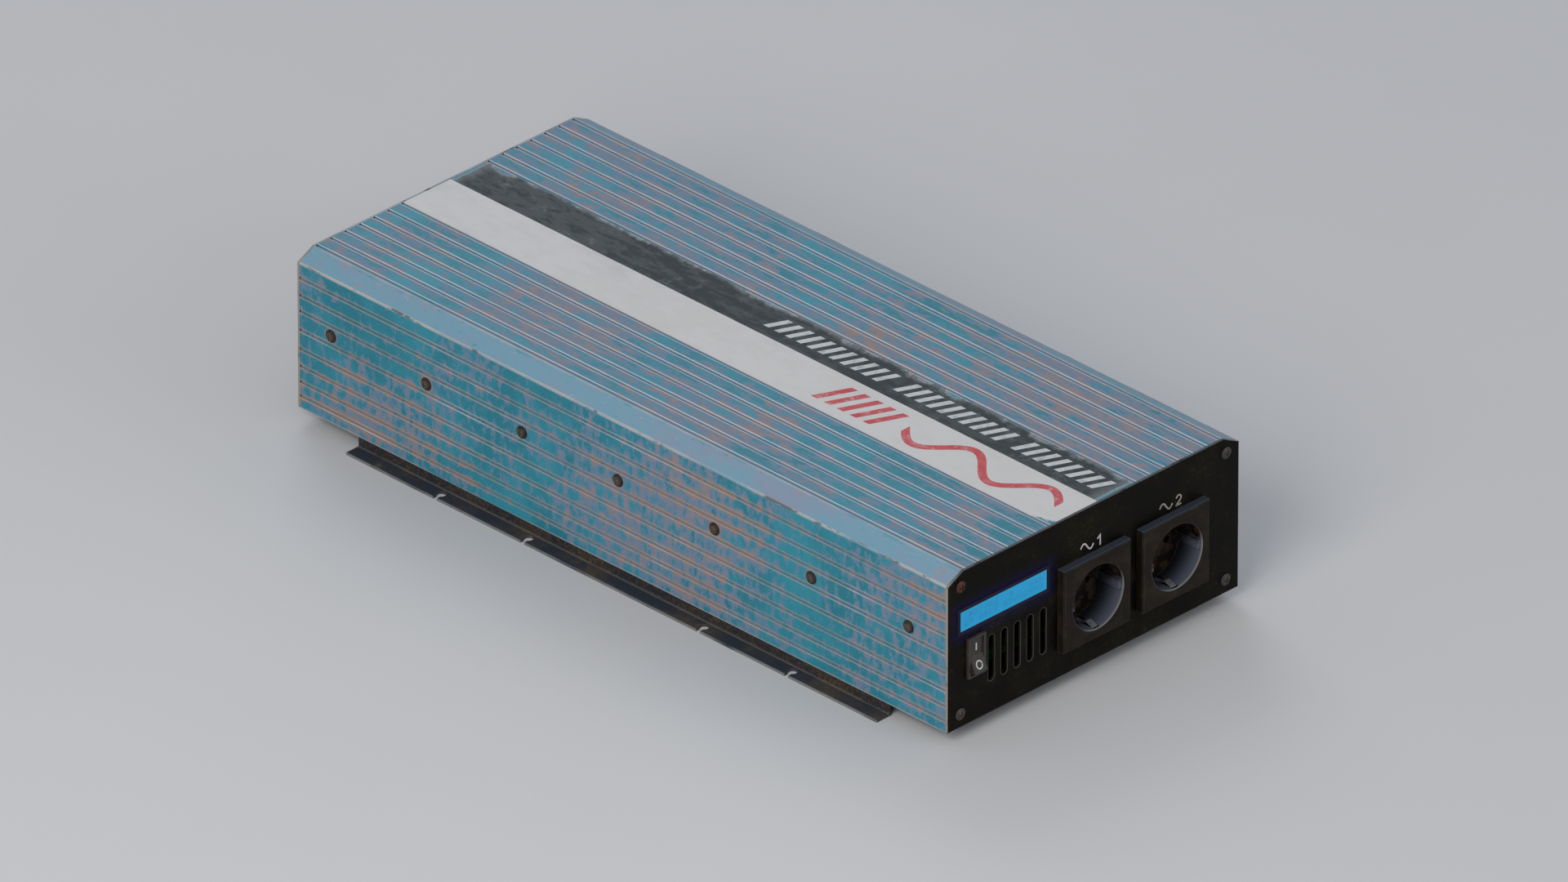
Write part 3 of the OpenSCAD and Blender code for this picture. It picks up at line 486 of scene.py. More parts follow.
def grimy_paint(name, base, grime, bare, wear_radius=0.8, rim=False):
    """Matt black paint on sheet metal, under brown grime, with scratches and edges rubbed bare."""
    g = Graph(name)
    broad = g.rise(g.noise(26, detail=7, rough=0.66, shift=4), 0.44, 0.7)
    fine = g.rise(g.noise(3.2, detail=8, rough=0.75, shift=14), 0.5, 0.72)
    color = g.tint(broad * 0.8, base, grime)
    color = g.tint(fine * broad * 0.42, color, bare)
    scratch = g.rise(g.noise(0.7, (34, 34, 1), detail=2, shift=24), 0.68, 0.74)
    color = g.tint(scratch * 0.25, color, bare)
    dots = g.specks(2.6, 0.16, 34)
    color = g.tint(dots * 0.12, color, bare)
    rubbed = g.edges(wear_radius) * g.rise(g.noise(9, detail=5, shift=44), 0.34, 0.6)
    color = g.tint(rubbed * 0.75, color, bare)
    metal = rubbed * 0.4
    if rim:
        side, top, bevel = case_depths(g)
        skin = g.rise(g.least(side, top, bevel), 0.4, 0.15) * g.rise(g.z, BOTTOM, BOTTOM + 0.6)
        worn = skin * g.rise(g.noise(14, detail=5, shift=54), 0.25, 0.45)
        worn = worn * (g.most(g.rise(top, -0.5, 9.0), g.rise(g.y, -1, 1)) * 0.6 + 0.25)
        worn_color = g.tint(g.rise(top, 0.0, 8.0), rgb(150, 158, 164), rgb(176, 166, 156))
        color = g.tint(worn, color, worn_color)
        metal = g.most(metal, worn * 0.4)
    g.bump(g.noise(0.7, detail=3) * 0.4 + broad * 0.3 - rubbed * 0.4, 0.1)
    return g, color, g.blend(broad, 0.42, 0.7), metal


def vent_rims(g):
    """A thin line round each of the front panel's vent slots."""
    middle_x, middle_z, pitch, width, height = -59.2, 43.0, 10.05, 4.8, 29.0
    first, radius = middle_x - 2.5 * pitch, width / 2
    off_x = pitch / 2 - g.math("PINGPONG", g.x - first, pitch / 2)
    off_z = g.most(abs(g.z - middle_z) - (height / 2 - radius), 0.0)
    away = abs(g.math("SQRT", off_x * off_x + off_z * off_z) - radius)
    row = g.rise(abs(g.x - middle_x), 2.5 * pitch + 0.1, 2.5 * pitch)
    return g.rise(away, 0.6, 0.25) * row * g.rise(g.y, FRONT + 0.5, FRONT + 0.3)


def panel_black():
    """The end panels' paint, rubbed at the vents. The lit display tints the paint round it."""
    g, color, rough, metal = grimy_paint(
        "panel_black", rgb(12, 10, 6), rgb(31, 27, 17), rgb(86, 78, 66), 1.0, rim=True)
    color = g.tint(vent_rims(g) * (g.noise(9, shift=74) * 0.6 + 0.3), color, rgb(88, 85, 80))
    low, high = corners("display_bezel")
    across = g.most(abs(g.x - (low.x + high.x) / 2) - (high.x - low.x) / 2, 0.0)
    level = g.most(abs(g.z - (low.z + high.z) / 2) - (high.z - low.z) / 2, 0.0)
    away = g.math("SQRT", across * across + level * level)
    glow = g.rise(away, 11.0, -4.0) * g.rise(g.y, FRONT + 0.4, FRONT)
    g.feed(g.shader.inputs["Emission Color"], g.tint(glow * glow, rgb(0, 0, 0), rgb(12, 13, 66)))
    g.shader.inputs["Emission Strength"].default_value = 0.6
    g.shader.inputs["Specular IOR Level"].default_value = 0.07
    return g.finish(color, rough, metal)


def bracket_black():
    """The foot brackets: rust specks on the upright web, and rubbed lines at the edge and bend."""
    g, color, rough, metal = grimy_paint(
        "bracket_black", rgb(50, 56, 66), rgb(78, 68, 56), rgb(138, 132, 122))
    outer, flange = -corners("foot_bracket_left")[0].x, 9.7
    web = outer - flange
    upright = g.rise(g.z, 1.7, 2.4)
    specks = g.rise(g.noise(1.8, detail=6, rough=0.7, shift=61), 0.5, 0.62)
    # the upright web darker and browner than the flange
    color = g.tint(upright * 0.5, color, rgb(34, 29, 24))
    color = g.tint(upright * specks * 0.5, color, rgb(112, 88, 64))
    rim = g.rise(abs(g.x), outer - 0.6, outer - 0.3)
    bend = g.rise(abs(abs(g.x) - web - 0.4), 0.5, 0.2) * g.rise(g.z, 3.0, 2.2)
    kept = g.rise(g.noise(16, (1, 3, 1), detail=5, shift=64), 0.3, 0.5)
    color = g.tint(g.most(rim, bend * 0.6) * kept * 0.7, color, rgb(138, 138, 136))
    g.shader.inputs["Specular IOR Level"].default_value = 0.25
    return g.finish(color, rough, metal)


def base_metal():
    """The base plate: dull, stained sheet metal."""
    g, color, rough, _ = grimy_paint(
        "base_metal", rgb(96, 100, 104), rgb(78, 74, 68), rgb(150, 150, 148))
    return g.finish(color, rough, 0.7)


def screw_metal(name, base, rust, amount, reddish=False, ringed=False):
    """Dulled steel screws with some rust. Grease rings the side ones. A front one is reddish."""
    g = Graph(name)
    spots = g.noise(2.6, detail=7, rough=0.7) + g.noise(70, detail=1, shift=9) * 0.7
    blotch = g.rise(spots, 0.98 - amount, 1.12 - amount)
    worn = g.edges(0.4) * g.rise(g.noise(1.4, shift=3), 0.35, 0.6)
    color = g.tint(blotch, base, g.tint(g.noise(0.8, shift=6), rust, RUST_DARK))
    color = g.tint(worn * 0.5, color, rgb(150, 146, 136))
    if ringed:
        grease = g.rise(screw_gap(g), 2.0, 2.7) * g.rise(screw_gap(g), 5.0, 4.5)
        color = g.tint(grease * 0.85, color, rgb(42, 33, 27))
    if reddish:
        that_one = g.rise(g.x, -90, -100) * g.rise(g.z, 80, 90) * g.rise(g.y, FRONT + 20, FRONT)
        red = g.tint(g.noise(1.2, detail=5, shift=8), rgb(96, 50, 42), rgb(70, 40, 34))
        color = g.tint(that_one * 0.85, color, red)
    g.bump(g.noise(0.5, detail=4) * 0.6 + blotch * 0.4, 0.08)
    return g.finish(color, g.blend(blotch, 0.42, 0.8), g.blend(blotch, 0.6, 0.1))


def plain_metal(name, base, dull, brush=(1, 1, 1), rough=0.28, metallic=1.0):
    """Bare metal with fine brush marks, stains and a painted highlight along its edges."""
    g = Graph(name)
    marks = g.noise(0.35, brush, detail=3)
    stain = g.rise(g.noise(7, detail=7, rough=0.65, shift=8), 0.45, 0.72)
    # painted highlight: edges tinted towards near white
    edge_highlight = g.edges(0.35) * 0.6
    color = g.tint(stain * 0.8, base, dull)
    color = g.tint(edge_highlight, color, g.tint(0.5, base, rgb(240, 238, 232)))
    g.bump(marks * 0.5 - stain * 0.3, 0.03)
    return g.finish(color, g.blend(stain, marks * 0.12 + rough, 0.55), metallic)


def moulded(name, base, dust, gloss=0.42, grain=0.6, dusty=0.5, shine=0.5, glow=None):
    """Moulded plastic: a fine spark-eroded grain, patches of dust, and edges polished by use."""
    g = Graph(name)
    g.shader.inputs["Specular IOR Level"].default_value = shine
    # glow paints a faint light into plastic that is no lamp
    if glow:
        g.shader.inputs["Emission Color"].default_value = glow
        g.shader.inputs["Emission Strength"].default_value = 0.6
    settled = g.rise(g.noise(8, detail=8, rough=0.7, shift=12), 0.48, 0.74) * dusty
    shade = g.tint(g.noise(30, detail=4, shift=2), base, g.tint(0.25, base, dust))
    color = g.tint(settled, shade, dust)
    polished = g.edges(0.5) * g.rise(g.noise(6, shift=19), 0.3, 0.6)
    color = g.tint(polished * 0.35, color, dust)
    hairs = g.rise(g.noise(0.4, (26, 26, 1), detail=2, shift=29), 0.7, 0.75)
    color = g.tint(hairs * 0.2, color, dust)
    texture = g.noise(grain, detail=4)
    g.bump(texture * 0.7 - hairs * 0.3, 0.05)
    rough = g.blend(settled, texture * 0.14 + gloss, 0.75)
    return g.finish(color, rough)


def nearest_hole(g):
    """Offsets from the middle of the nearer socket's recess, and the distance that they make."""
    first, second = middle("socket_1_body"), middle("socket_2_body")
    halfway, pitch = (first.x + second.x) / 2, second.x - first.x
    off_x = g.math("WRAP", g.x - halfway, pitch, 0.0) - pitch / 2
    off_z = g.z - first.z
    return off_x, off_z, g.math("SQRT", off_x * off_x + off_z * off_z)


def recess_color(g, off_x, off_z):
    """Inside the recess: brown grime with painted shade above and at the back, and a painted lit
    wall low at the front, darker deeper in.
    """
    blotch = g.noise(6, detail=7, rough=0.65, shift=45)
    # grime and painted shade: dark brown blotches above the middle and on the back of the recess
    grimy = g.tint(g.rise(blotch, 0.45, 0.6), rgb(26, 21, 18), rgb(58, 45, 35))
    # painted light: the lower wall lit bluish grey near the rim, fading to painted shade deeper in
    painted_lit_wall = g.tint(g.rise(g.y, FRONT + 11.0, FRONT - 4.0), rgb(30, 34, 41), rgb(84, 89, 102))
    low = g.rise((blotch - 0.5) * 8.0 - off_z + off_x * 0.1, -3.0, 3.0)
    back = g.rise(g.y, FRONT + 11.6, FRONT + 11.9)
    return g.tint(low * (1.0 - back), grimy, painted_lit_wall)


def socket_plastic():
    """Dark socket plastic: matt and grimy on the face, a painted bluish highlight on top, glossy in
    the recess with painted light and shade inside, and a painted highlight on the lower rim.
    """
    g = Graph("socket_plastic")
    plate_top = corners("socket_1_body")[1].z
    off_x, off_z, away = nearest_hole(g)
    recess = g.rise(away, RECESS_RADIUS + 0.05, RECESS_RADIUS - 0.1)
    grime = g.rise(g.noise(13, detail=8, rough=0.68, shift=15), 0.42, 0.72)
    color = g.tint(grime, rgb(25, 19, 12), rgb(45, 35, 24))
    stroke = g.rise(g.noise(5, (6, 1, 1), detail=7, shift=25), 0.58, 0.68)
    color = g.tint(stroke * 0.5, color, rgb(16, 13, 11))
    # painted highlight: the plate's top face lighter and bluish, as sky light falls on it
    color = g.tint(g.rise(g.z, plate_top - 0.6, plate_top - 0.2), color, rgb(50, 56, 66))
    color = g.tint(recess, color, recess_color(g, off_x, off_z))
    # painted highlight: a light line along the lower right part of each recess rim
    low_side = g.rise(off_x * 0.8 - off_z, 2.0, 16.0)
    at_face = g.rise(g.y, FRONT - 4, FRONT - 5)
    lip = g.rise(abs(away - RECESS_RADIUS), 0.55, 0.2) * low_side * at_face
    rubbed = g.edges(0.5) * g.rise(g.noise(7, shift=35), 0.3, 0.6)
    # the painted rim highlight and the rubbed edges share one light grey
    color = g.tint(g.most(lip * 0.8, rubbed * 0.45), color, rgb(136, 134, 132))
    texture = g.noise(0.5, detail=4)
    g.bump(texture * 0.8 * (1.0 - recess) + grime * 0.2, 0.05)
    g.shader.inputs["Specular IOR Level"].default_value = 0.16
    return g.finish(color, g.blend(recess, texture * 0.15 + 0.5, grime * 0.15 + 0.22))


def dice(g, across, up, width, height):
    """A random number from 0 to 1 for each cell of a grid."""
    made = g.node("ShaderNodeTexWhiteNoise", noise_dimensions="2D")
    cell = g.node("ShaderNodeCombineXYZ")
    g.feed(cell.inputs[0], g.math("FLOOR", across * (1 / width)))
    g.feed(cell.inputs[1], g.math("FLOOR", up * (1 / height)))
    g.feed(made.inputs["Vector"], cell.outputs[0])
    return Field(g, made.outputs["Value"])


def display_dots(g):
    """Two rows of character cells whose dots are set at random, so that they spell nothing."""
    low, high = corners("display_glass")
    columns, rows, border_x, border_z = 16, 2, 2.6, 1.9
    cell_w = (high.x - low.x - 2 * border_x) / columns
    cell_h = (high.z - low.z - 2 * border_z) / rows
    dot_w, dot_h = cell_w / 6, cell_h / 8
    across, up = g.x - (low.x + border_x), g.z - (low.z + border_z)
    used = g.math("GREATER_THAN", dice(g, across, up, cell_w, cell_h), 0.3)
    dark = g.math("GREATER_THAN", dice(g, across, up, dot_w, dot_h), 0.45)
    within = g.rise(g.math("PINGPONG", across, cell_w / 2), dot_w * 0.3, dot_w * 0.6)
    within = within * g.rise(g.math("PINGPONG", up, cell_h / 2), dot_h * 0.4, dot_h * 0.7)
    for place, length in ((across, cell_w * columns), (up, cell_h * rows)):
        within = within * g.math("GREATER_THAN", place, 0.0) * g.math("LESS_THAN", place, length)
    return used * dark * within


def display_lit():
    """The lit window: an even blue backlight behind dark dots, and smears on the glass."""
    g = Graph("display_lit")
    lit = g.tint(g.noise(24, detail=2), rgb(0, 140, 194), rgb(16, 153, 202))
    lit = g.tint(display_dots(g) * 0.32, lit, rgb(14, 92, 158))
    smear = g.rise(g.noise(9, (2, 1, 1), detail=7, shift=6), 0.55, 0.8)
    g.feed(g.shader.inputs["Emission Color"], lit)
    g.shader.inputs["Emission Strength"].default_value = 0.9
    g.bump(smear, 0.01)
    return g.finish(g.tint(smear * 0.5, rgb(4, 18, 32), rgb(24, 40, 52)), smear * 0.3 + 0.12)


def circuit_board():
    """Green lacquer over copper tracks, with rows of tinned pads."""
    g = Graph("board_green")
    tracks = g.node("ShaderNodeTexVoronoi", feature="DISTANCE_TO_EDGE", distance="CHEBYCHEV")
    g.feed(tracks.inputs["Vector"], g.stretched(g.place, (0.13, 0.09, 0.13), 0.0))
    tracks.inputs["Scale"].default_value = 1.0
    track = g.rise(Field(g, tracks.outputs["Distance"]), 0.09, 0.06)
    pin_pitch = 2.54
    off_pad = g.math("PINGPONG", g.x, pin_pitch) + g.math("PINGPONG", g.y, pin_pitch)
    pad = g.rise(off_pad, 0.9, 0.6) * g.rise(g.noise(20), 0.5, 0.55)
    color = g.tint(track, rgb(18, 66, 40), rgb(34, 96, 52))
    color = g.tint(pad, color, rgb(176, 170, 156))
    color = g.tint(g.rise(g.noise(30, detail=7, shift=9), 0.5, 0.8) * 0.5, color, rgb(104, 98, 84))
    g.bump(track * 0.6 + pad, 0.05)
    return g.finish(color, g.noise(12) * 0.2 + 0.28, pad * 0.8)


def ferrite():
    """Dark fired ferrite with fine pores."""
    g = Graph("ferrite")
    pores = g.specks(1.1, 0.22)
    color = g.tint(g.noise(9, detail=6), rgb(44, 44, 47), rgb(62, 61, 62))
    color = g.tint(g.edges(0.5) * 0.4, color, rgb(96, 94, 92))
    g.bump(1.0 - pores, 0.06)
    return g.finish(color, 0.62 + pores * 0.2)


def enamelled_copper():
    """Wound copper wire: close turns as ridges, each with its own tone, and painted shade in the
    gaps between turns.
    """
    g = Graph("copper")
    turn = g.math("PINGPONG", g.x + g.z + g.y * 0.05, 0.8)
    ridge = g.math("SQRT", turn * 1.25)
    shade = g.noise(1.6, detail=2, shift=5)
    color = g.tint(shade, rgb(168, 84, 44), rgb(206, 120, 66))
    # painted shade: the gaps between turns darkened
    color = g.tint(g.rise(ridge, 0.5, 0.1), color, rgb(70, 32, 18))
    g.bump(ridge, 0.3)
    return g.finish(color, shade * 0.2 + 0.22, 0.9)


def capacitor_sleeve():
    """Dark blue shrink sleeve with a paler side stripe and a bare metal top."""
    g = Graph("capacitor_sleeve")
    tall = corners("bus_capacitors")[1].z
    short = corners("input_capacitors")[1].z
    lid = g.most(g.rise(abs(g.z - tall), 0.25, 0.1), g.rise(abs(g.z - short), 0.25, 0.1))
    stripe = g.rise(abs(g.math("PINGPONG", g.x, 11.0) - 5.5), 2.4, 2.1)
    color = g.tint(stripe * 0.7, rgb(26, 34, 62), rgb(150, 156, 168))
    color = g.tint(lid, color, rgb(176, 178, 180))
    color = g.tint(g.rise(g.noise(14, detail=7, shift=3), 0.5, 0.8) * 0.4, color, rgb(112, 106, 96))
    g.bump(g.noise(1.2, (1, 1, 4), detail=2), 0.03)
    return g.finish(color, g.blend(lid, 0.32, 0.4), lid)


def insulation(name, base):
    """Soft wire insulation with faint drawing marks along it and dust on top."""
    g = Graph(name)
    dust = g.rise(g.noise(6, detail=7, shift=2), 0.5, 0.78)
    color = g.tint(dust * 0.5, base, rgb(138, 130, 120))
    g.bump(g.noise(0.6, (1, 5, 1), detail=2), 0.04)
    return g.finish(color, g.blend(dust, 0.38, 0.7))


def ribbon_grey():
    """Flat cable: parallel cores with painted shade in the troughs between them, the first of them
    marked red.
    """
    g = Graph("ribbon_grey")
    upper = corners("display_ribbon")[1].z
    core_pitch = 1.27
    core = g.math("PINGPONG", g.z, core_pitch / 2)
    first = g.rise(g.z, upper - 1.3, upper - 1.1)
    # painted shade: darker lines between the cores
    color = g.tint(g.rise(core, 0.12, 0.3), rgb(96, 98, 102), rgb(150, 152, 156))
    color = g.tint(first, color, rgb(170, 52, 44))
    g.bump(g.rise(core, 0.0, 0.4), 0.15)
    return g.finish(color, g.noise(5) * 0.2 + 0.4)


def silicone_pad():
    """Thermal pad: grey silicone over a fine glass weave."""
    g = Graph("pad_silicone")
    weave = g.math("PINGPONG", g.y, 0.4) * g.math("PINGPONG", g.z, 0.4)
    color = g.tint(g.noise(8, detail=5), rgb(150, 156, 160), rgb(176, 178, 176))
    g.bump(weave * 6.0, 0.05)
    return g.finish(color, 0.6 + g.noise(3) * 0.2)


def printed_mark(name, base, under, kept):
    """Ink worn thin in places, so what is under it shows. More of it is left as kept grows."""
    g = Graph(name)
    wear = g.noise(2.4, detail=8, rough=0.75, shift=17) + g.noise(40, detail=1, shift=4) * 0.5
    gone = g.rise(wear, kept, kept + 0.1)
    color = g.tint(gone * 0.85, base, under)
    g.bump(g.noise(0.5) - gone, 0.03)
    return g.finish(color, g.blend(gone, 0.5, 0.7))


MATERIALS = {
    "case_paint": case_paint(),
    "base_metal": base_metal(),
    "panel_black": panel_black(),
    "screw_dark": screw_metal("screw_dark", rgb(68, 67, 63), rgb(70, 50, 40), 0.12, reddish=True),
    "screw_rusty": screw_metal("screw_rusty", rgb(92, 86, 72), rgb(76, 58, 44), 0.16, ringed=True),
    "bracket_black": bracket_black(),
    # painted glow: the frame plastic glows faintly blue, as if lit by the display
    "display_frame": moulded(
        "display_frame", rgb(16, 13, 16), rgb(70, 57, 48), 0.5,
        dusty=0.25, shine=0.12, glow=rgb(8, 8, 38)),
    "display_lit": display_lit(),
    "board_green": circuit_board(),
    "switch_plastic": moulded("switch_plastic", rgb(42, 37, 34), rgb(88, 76, 66), 0.42),
    "rocker_plastic": moulded("rocker_plastic", rgb(36, 33, 31), rgb(86, 76, 62), 0.24, dusty=0.35),
    "brass": plain_metal("brass", rgb(206, 166, 86), rgb(128, 98, 56)),
    "socket_plastic": socket_plastic(),
    "spring_steel": plain_metal(
        "spring_steel", rgb(160, 162, 166), rgb(96, 94, 92), (1, 8, 1), 0.25, 0.7),
    "fan_plastic": moulded("fan_plastic", rgb(28, 28, 30), rgb(92, 88, 82), 0.5, dusty=0.7),
    "rotor_plastic": moulded("rotor_plastic", rgb(24, 24, 26), rgb(104, 99, 92), 0.42, dusty=0.8),
    "guard_wire": plain_metal("guard_wire", rgb(186, 188, 190), rgb(112, 92, 74)),
    "post_red": moulded("post_red", rgb(172, 24, 20), rgb(120, 84, 76), 0.34),
    "post_black": moulded("post_black", rgb(26, 26, 27), rgb(86, 82, 78), 0.34),
    "plated_steel": plain_metal("plated_steel", rgb(196, 196, 192), rgb(142, 132, 116)),
    "ferrite": ferrite(),
    "copper": enamelled_copper(),
    "part_plastic": moulded("part_plastic", rgb(32, 32, 34), rgb(100, 96, 90), 0.46),
    "capacitor_sleeve": capacitor_sleeve(),
    "fuse_plastic": moulded("fuse_plastic", rgb(206, 104, 26), rgb(150, 120, 92), 0.22, dusty=0.3),
    "bare_aluminium": plain_metal(
        "bare_aluminium", rgb(186, 189, 192), rgb(136, 138, 140), (1, 22, 1), 0.34),
    "pad_silicone": silicone_pad(),
    "wire_brown": insulation("wire_brown", rgb(88, 50, 30)),
    "wire_red": insulation("wire_red", rgb(160, 28, 24)),
    "ribbon_grey": ribbon_grey(),
    "white_ink": printed_mark("white_ink", rgb(204, 204, 202), rgb(62, 59, 55), 0.92),
    "ghost_ink": printed_mark("ghost_ink", rgb(160, 157, 150), rgb(38, 36, 33), 0.76),
}


# ---- CAD nodes: finish and softened edges ----

SOFT_EDGES = {
    "housing_shell": 0.25,
    "front_panel": 0.3,
    "rear_panel": 0.3,
    "foot_bracket_left": 0.3,
    "foot_bracket_right": 0.3,
    "display_bezel": 0.25,
    "display_glass": 0.15,
    "switch_body": 0.35,
    "switch_rocker": 0.3,
    "socket_1_body": 0.35,
    "socket_2_body": 0.35,
    "socket_1_earth_clips": 0.2,
    "socket_2_earth_clips": 0.2,
    "terminal_nuts": 0.35,
    "terminal_washers": 0.2,
    "ground_nut": 0.3,
    "fan_1_rotor": 0.25,
    "fan_2_rotor": 0.25,
    "fan_1_frame": 0.3,
    "fan_2_frame": 0.3,
    "transformer_cores": 0.5,
    "transformer_windings": 2.5,
    "output_relay": 0.6,
    "blade_fuses": 0.5,
    "input_capacitors": 0.8,
    "bus_capacitors": 1.2,
    "transistors_left": 0.3,
    "transistors_right": 0.3,
}


def soften(piece, width):
    """Rounds sharp edges with modifiers, which leave the CAD mesh as it is."""
    weld = piece.modifiers.new("weld", "WELD")
    weld.merge_threshold = 0.002 * MM
    flat = piece.modifiers.new("flat", "DECIMATE")
    flat.decimate_type = "DISSOLVE"
    flat.angle_limit = math.radians(0.5)
    bevel = piece.modifiers.new("bevel", "BEVEL")
    bevel.width = width * MM
    bevel.segments = 2
    bevel.limit_method = "ANGLE"
    bevel.angle_limit = math.radians(22)
    shade = piece.modifiers.new("shade", "WEIGHTED_NORMAL")
    shade.keep_sharp = True


def finish_nodes():
    """Gives each CAD node the material of its slot, and softens the edges that show."""
    slots = {part["node"]: part["material_slot"] for part in frame["record"]["subparts"]}
    for name, piece in frame["nodes"].items():
        for slot in piece.material_slots:
            slot.link = "OBJECT"
            slot.material = MATERIALS[slots[name]]
        if name in SOFT_EDGES:
            soften(piece, SOFT_EDGES[name])


# ---- printed marks as thin raised ink ----

def mesh_piece(name, bm, material, body):
    """Makes a scene object of a finished bmesh whose lengths are in millimetres."""
    bmesh.ops.scale(bm, vec=(MM, MM, MM), verts=bm.verts)
    bmesh.ops.recalc_face_normals(bm, faces=bm.faces)
    mesh = bpy.data.meshes.new(name)
    bm.to_mesh(mesh)
    bm.free()
    mesh.materials.append(MATERIALS[material])
    piece = bpy.data.objects.new(name, mesh)
    bpy.context.scene.collection.objects.link(piece)
    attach(piece, body)
    return piece


def tree_of(node):
    """A CAD node's surface in millimetres, for finding where a mark lies on it."""
    bm = bmesh.new()
    bm.from_mesh(frame["nodes"][node].data)
    bmesh.ops.scale(bm, vec=(1 / MM, 1 / MM, 1 / MM), verts=bm.verts)
    tree = BVHTree.FromBMesh(bm)
    bm.free()
    return tree


def side_steps(points, closed):
    """Unit vectors across a flat path at each of its points, longer where it turns a corner."""
    last = len(points) - 1
    steps = []
    for i, point in enumerate(points):
        before = points[i - 1] if i > 0 or closed else point
        after = points[(i + 1) % len(points)] if i < last or closed else point
        ahead = (after - point).normalized() if after != point else (point - before).normalized()
        behind = (point - before).normalized() if before != point else ahead
        across = (Vector((-ahead.y, ahead.x)) + Vector((-behind.y, behind.x))).normalized()
        steps.append(across / max(across.dot(Vector((-ahead.y, ahead.x))), 0.5))
    return steps


def add_stroke(bm, tree, facing, points, width, closed=False):
    """One band of ink along a path given as X and Z, laid on the surface that the tree holds."""
    thickness, sunk, far = 0.12, 0.03, 400
    points = [Vector(p) for p in points]
    rows = []
    for point, step in zip(points, side_steps(points, closed)):
        row = []
        for side in (-0.5, 0.5):
            x, z = point + step * (side * width)
            hit = tree.ray_cast(Vector((x, facing * far, z)), Vector((0, -facing, 0)))[0]
            row += [Vector((x, hit.y + facing * lift, z)) for lift in (thickness, -sunk)]
        rows.append([bm.verts.new(row[i]) for i in (0, 2, 3, 1)])
    pairs = list(zip(rows, rows[1:] + rows[:1])) if closed else list(zip(rows, rows[1:]))
    for a, b in pairs:
        for i in range(4):
            bm.faces.new((a[i], a[(i + 1) % 4], b[(i + 1) % 4], b[i]))
    if not closed:
        bm.faces.new(rows[0])
        bm.faces.new(rows[-1])


def arc(middle_x, middle_z, radius, first, last, steps=20):
    """Points round part of a circle, with angles in degrees from +X towards +Z."""
    angles = [math.radians(first + (last - first) * i / steps) for i in range(steps + 1)]
    return [(middle_x + radius * math.cos(a), middle_z + radius * math.sin(a)) for a in angles]


def ring(middle_x, middle_z, radius):
    """Points round a whole circle."""
    return arc(middle_x, middle_z, radius, 0, 360)[:-1]


def wave(left, level, length, swing, steps=24):
    """One period of a sine wave, the plain sign for alternating current."""
    turns = [i / steps for i in range(steps + 1)]
    return [(left + length * turn, level + swing * math.sin(math.tau * turn)) for turn in turns]


def digit_one(left, base, height):
    """The strokes of a plain 1."""
    tall = left + height * 0.34
    return [[(left, base + height * 0.72), (tall, base + height), (tall, base)]]


def digit_two(left, base, height):
    """The strokes of a plain 2."""
    radius = height * 0.29
    top = arc(left + radius, base + height - radius, radius, 170, -35)
    foot = [(left - 0.4, base + 0.45), (left + 2.1 * radius, base + 0.45)]
    return [top + [(left, base + 0.5)], foot]


def mark(name, node, body, facing, strokes, width, ink="white_ink"):
    """A mark made of open strokes, or closed ones where a stroke's last point joins its first."""
    tree = tree_of(node)
    bm = bmesh.new()
    for points in strokes:
        closed = isinstance(points, tuple)
        add_stroke(bm, tree, facing, list(points), width, closed)
    return mesh_piece(name, bm, ink, body)


def socket_labels():
    """A wave and a numeral over each socket."""
    height, length, swing, rise_over_plate = 6.4, 10.0, 2.4, 2.0
    for number, digit, ink in ((1, digit_one, "white_ink"), (2, digit_two, "ghost_ink")):
        low, high = corners(f"socket_{number}_body")
        centre = (low.x + high.x) / 2
        base = high.z + rise_over_plate
        sign = wave(centre - 8.4, base + height / 2, length, swing)
        strokes = [sign] + digit(centre + 4.6, base, height)
        mark(f"socket_{number}_label", "front_panel", "case", -1, strokes, 0.9, ink)


def rocker_marks():
    """The bar for on and the ring for off, on the two halves of the rocker."""
    low, high = corners("switch_rocker")
    centre = (low.x + high.x) / 2
    level = (low.z + high.z) / 2
    quarter = (high.z - low.z) / 4
    half_bar, radius = 2.3, 2.1
    bar = [(centre, level + quarter - half_bar), (centre, level + quarter + half_bar)]
    mark("rocker_mark_on", "switch_rocker", "rocker", -1, [bar], 0.9)
    circle = tuple(ring(centre, level - quarter, radius))
    mark("rocker_mark_off", "switch_rocker", "rocker", -1, [circle], 0.65)


def post_marks():
    """Plus and minus beside the battery posts, and the earth sign over its stud."""
    arm, gap, line_pitch, aside = 3.6, 7, 1.6, 12
    positive, negative = middle("terminal_positive"), middle("terminal_negative")
    plus_z = positive.z + (corners("terminal_positive")[1].z - positive.z + gap)
    plus = [[(positive.x - arm, plus_z), (positive.x + arm, plus_z)],
            [(positive.x, plus_z - arm), (positive.x, plus_z + arm)]]
    mark("post_mark_plus", "rear_panel", "case", 1, plus, 1.6)
    minus = [[(negative.x - arm, plus_z), (negative.x + arm, plus_z)]]
    mark("post_mark_minus", "rear_panel", "case", 1, minus, 1.6)
    stud = middle("ground_stud")
    left = stud.x + aside
    earth = [[(left, stud.z + 4), (left, stud.z)]]
    for i in range(3):
        reach, level = arm - i * 1.2, stud.z - i * line_pitch
        earth.append([(left - reach, level), (left + reach, level)])
    mark("ground_mark", "rear_panel", "case", 1, earth, 0.8)


# ---- threaded studs ----

def thread_radius(outer, pitch, along, turn):
    """Radius of a 60 degree thread at a place along the rod and round it."""
    phase = (along / pitch - turn) % 1.0
    deep = 0.54 * pitch
    return outer - deep * min(1.0, max(0.0, 2.4 * abs(phase - 0.5) - 0.1))


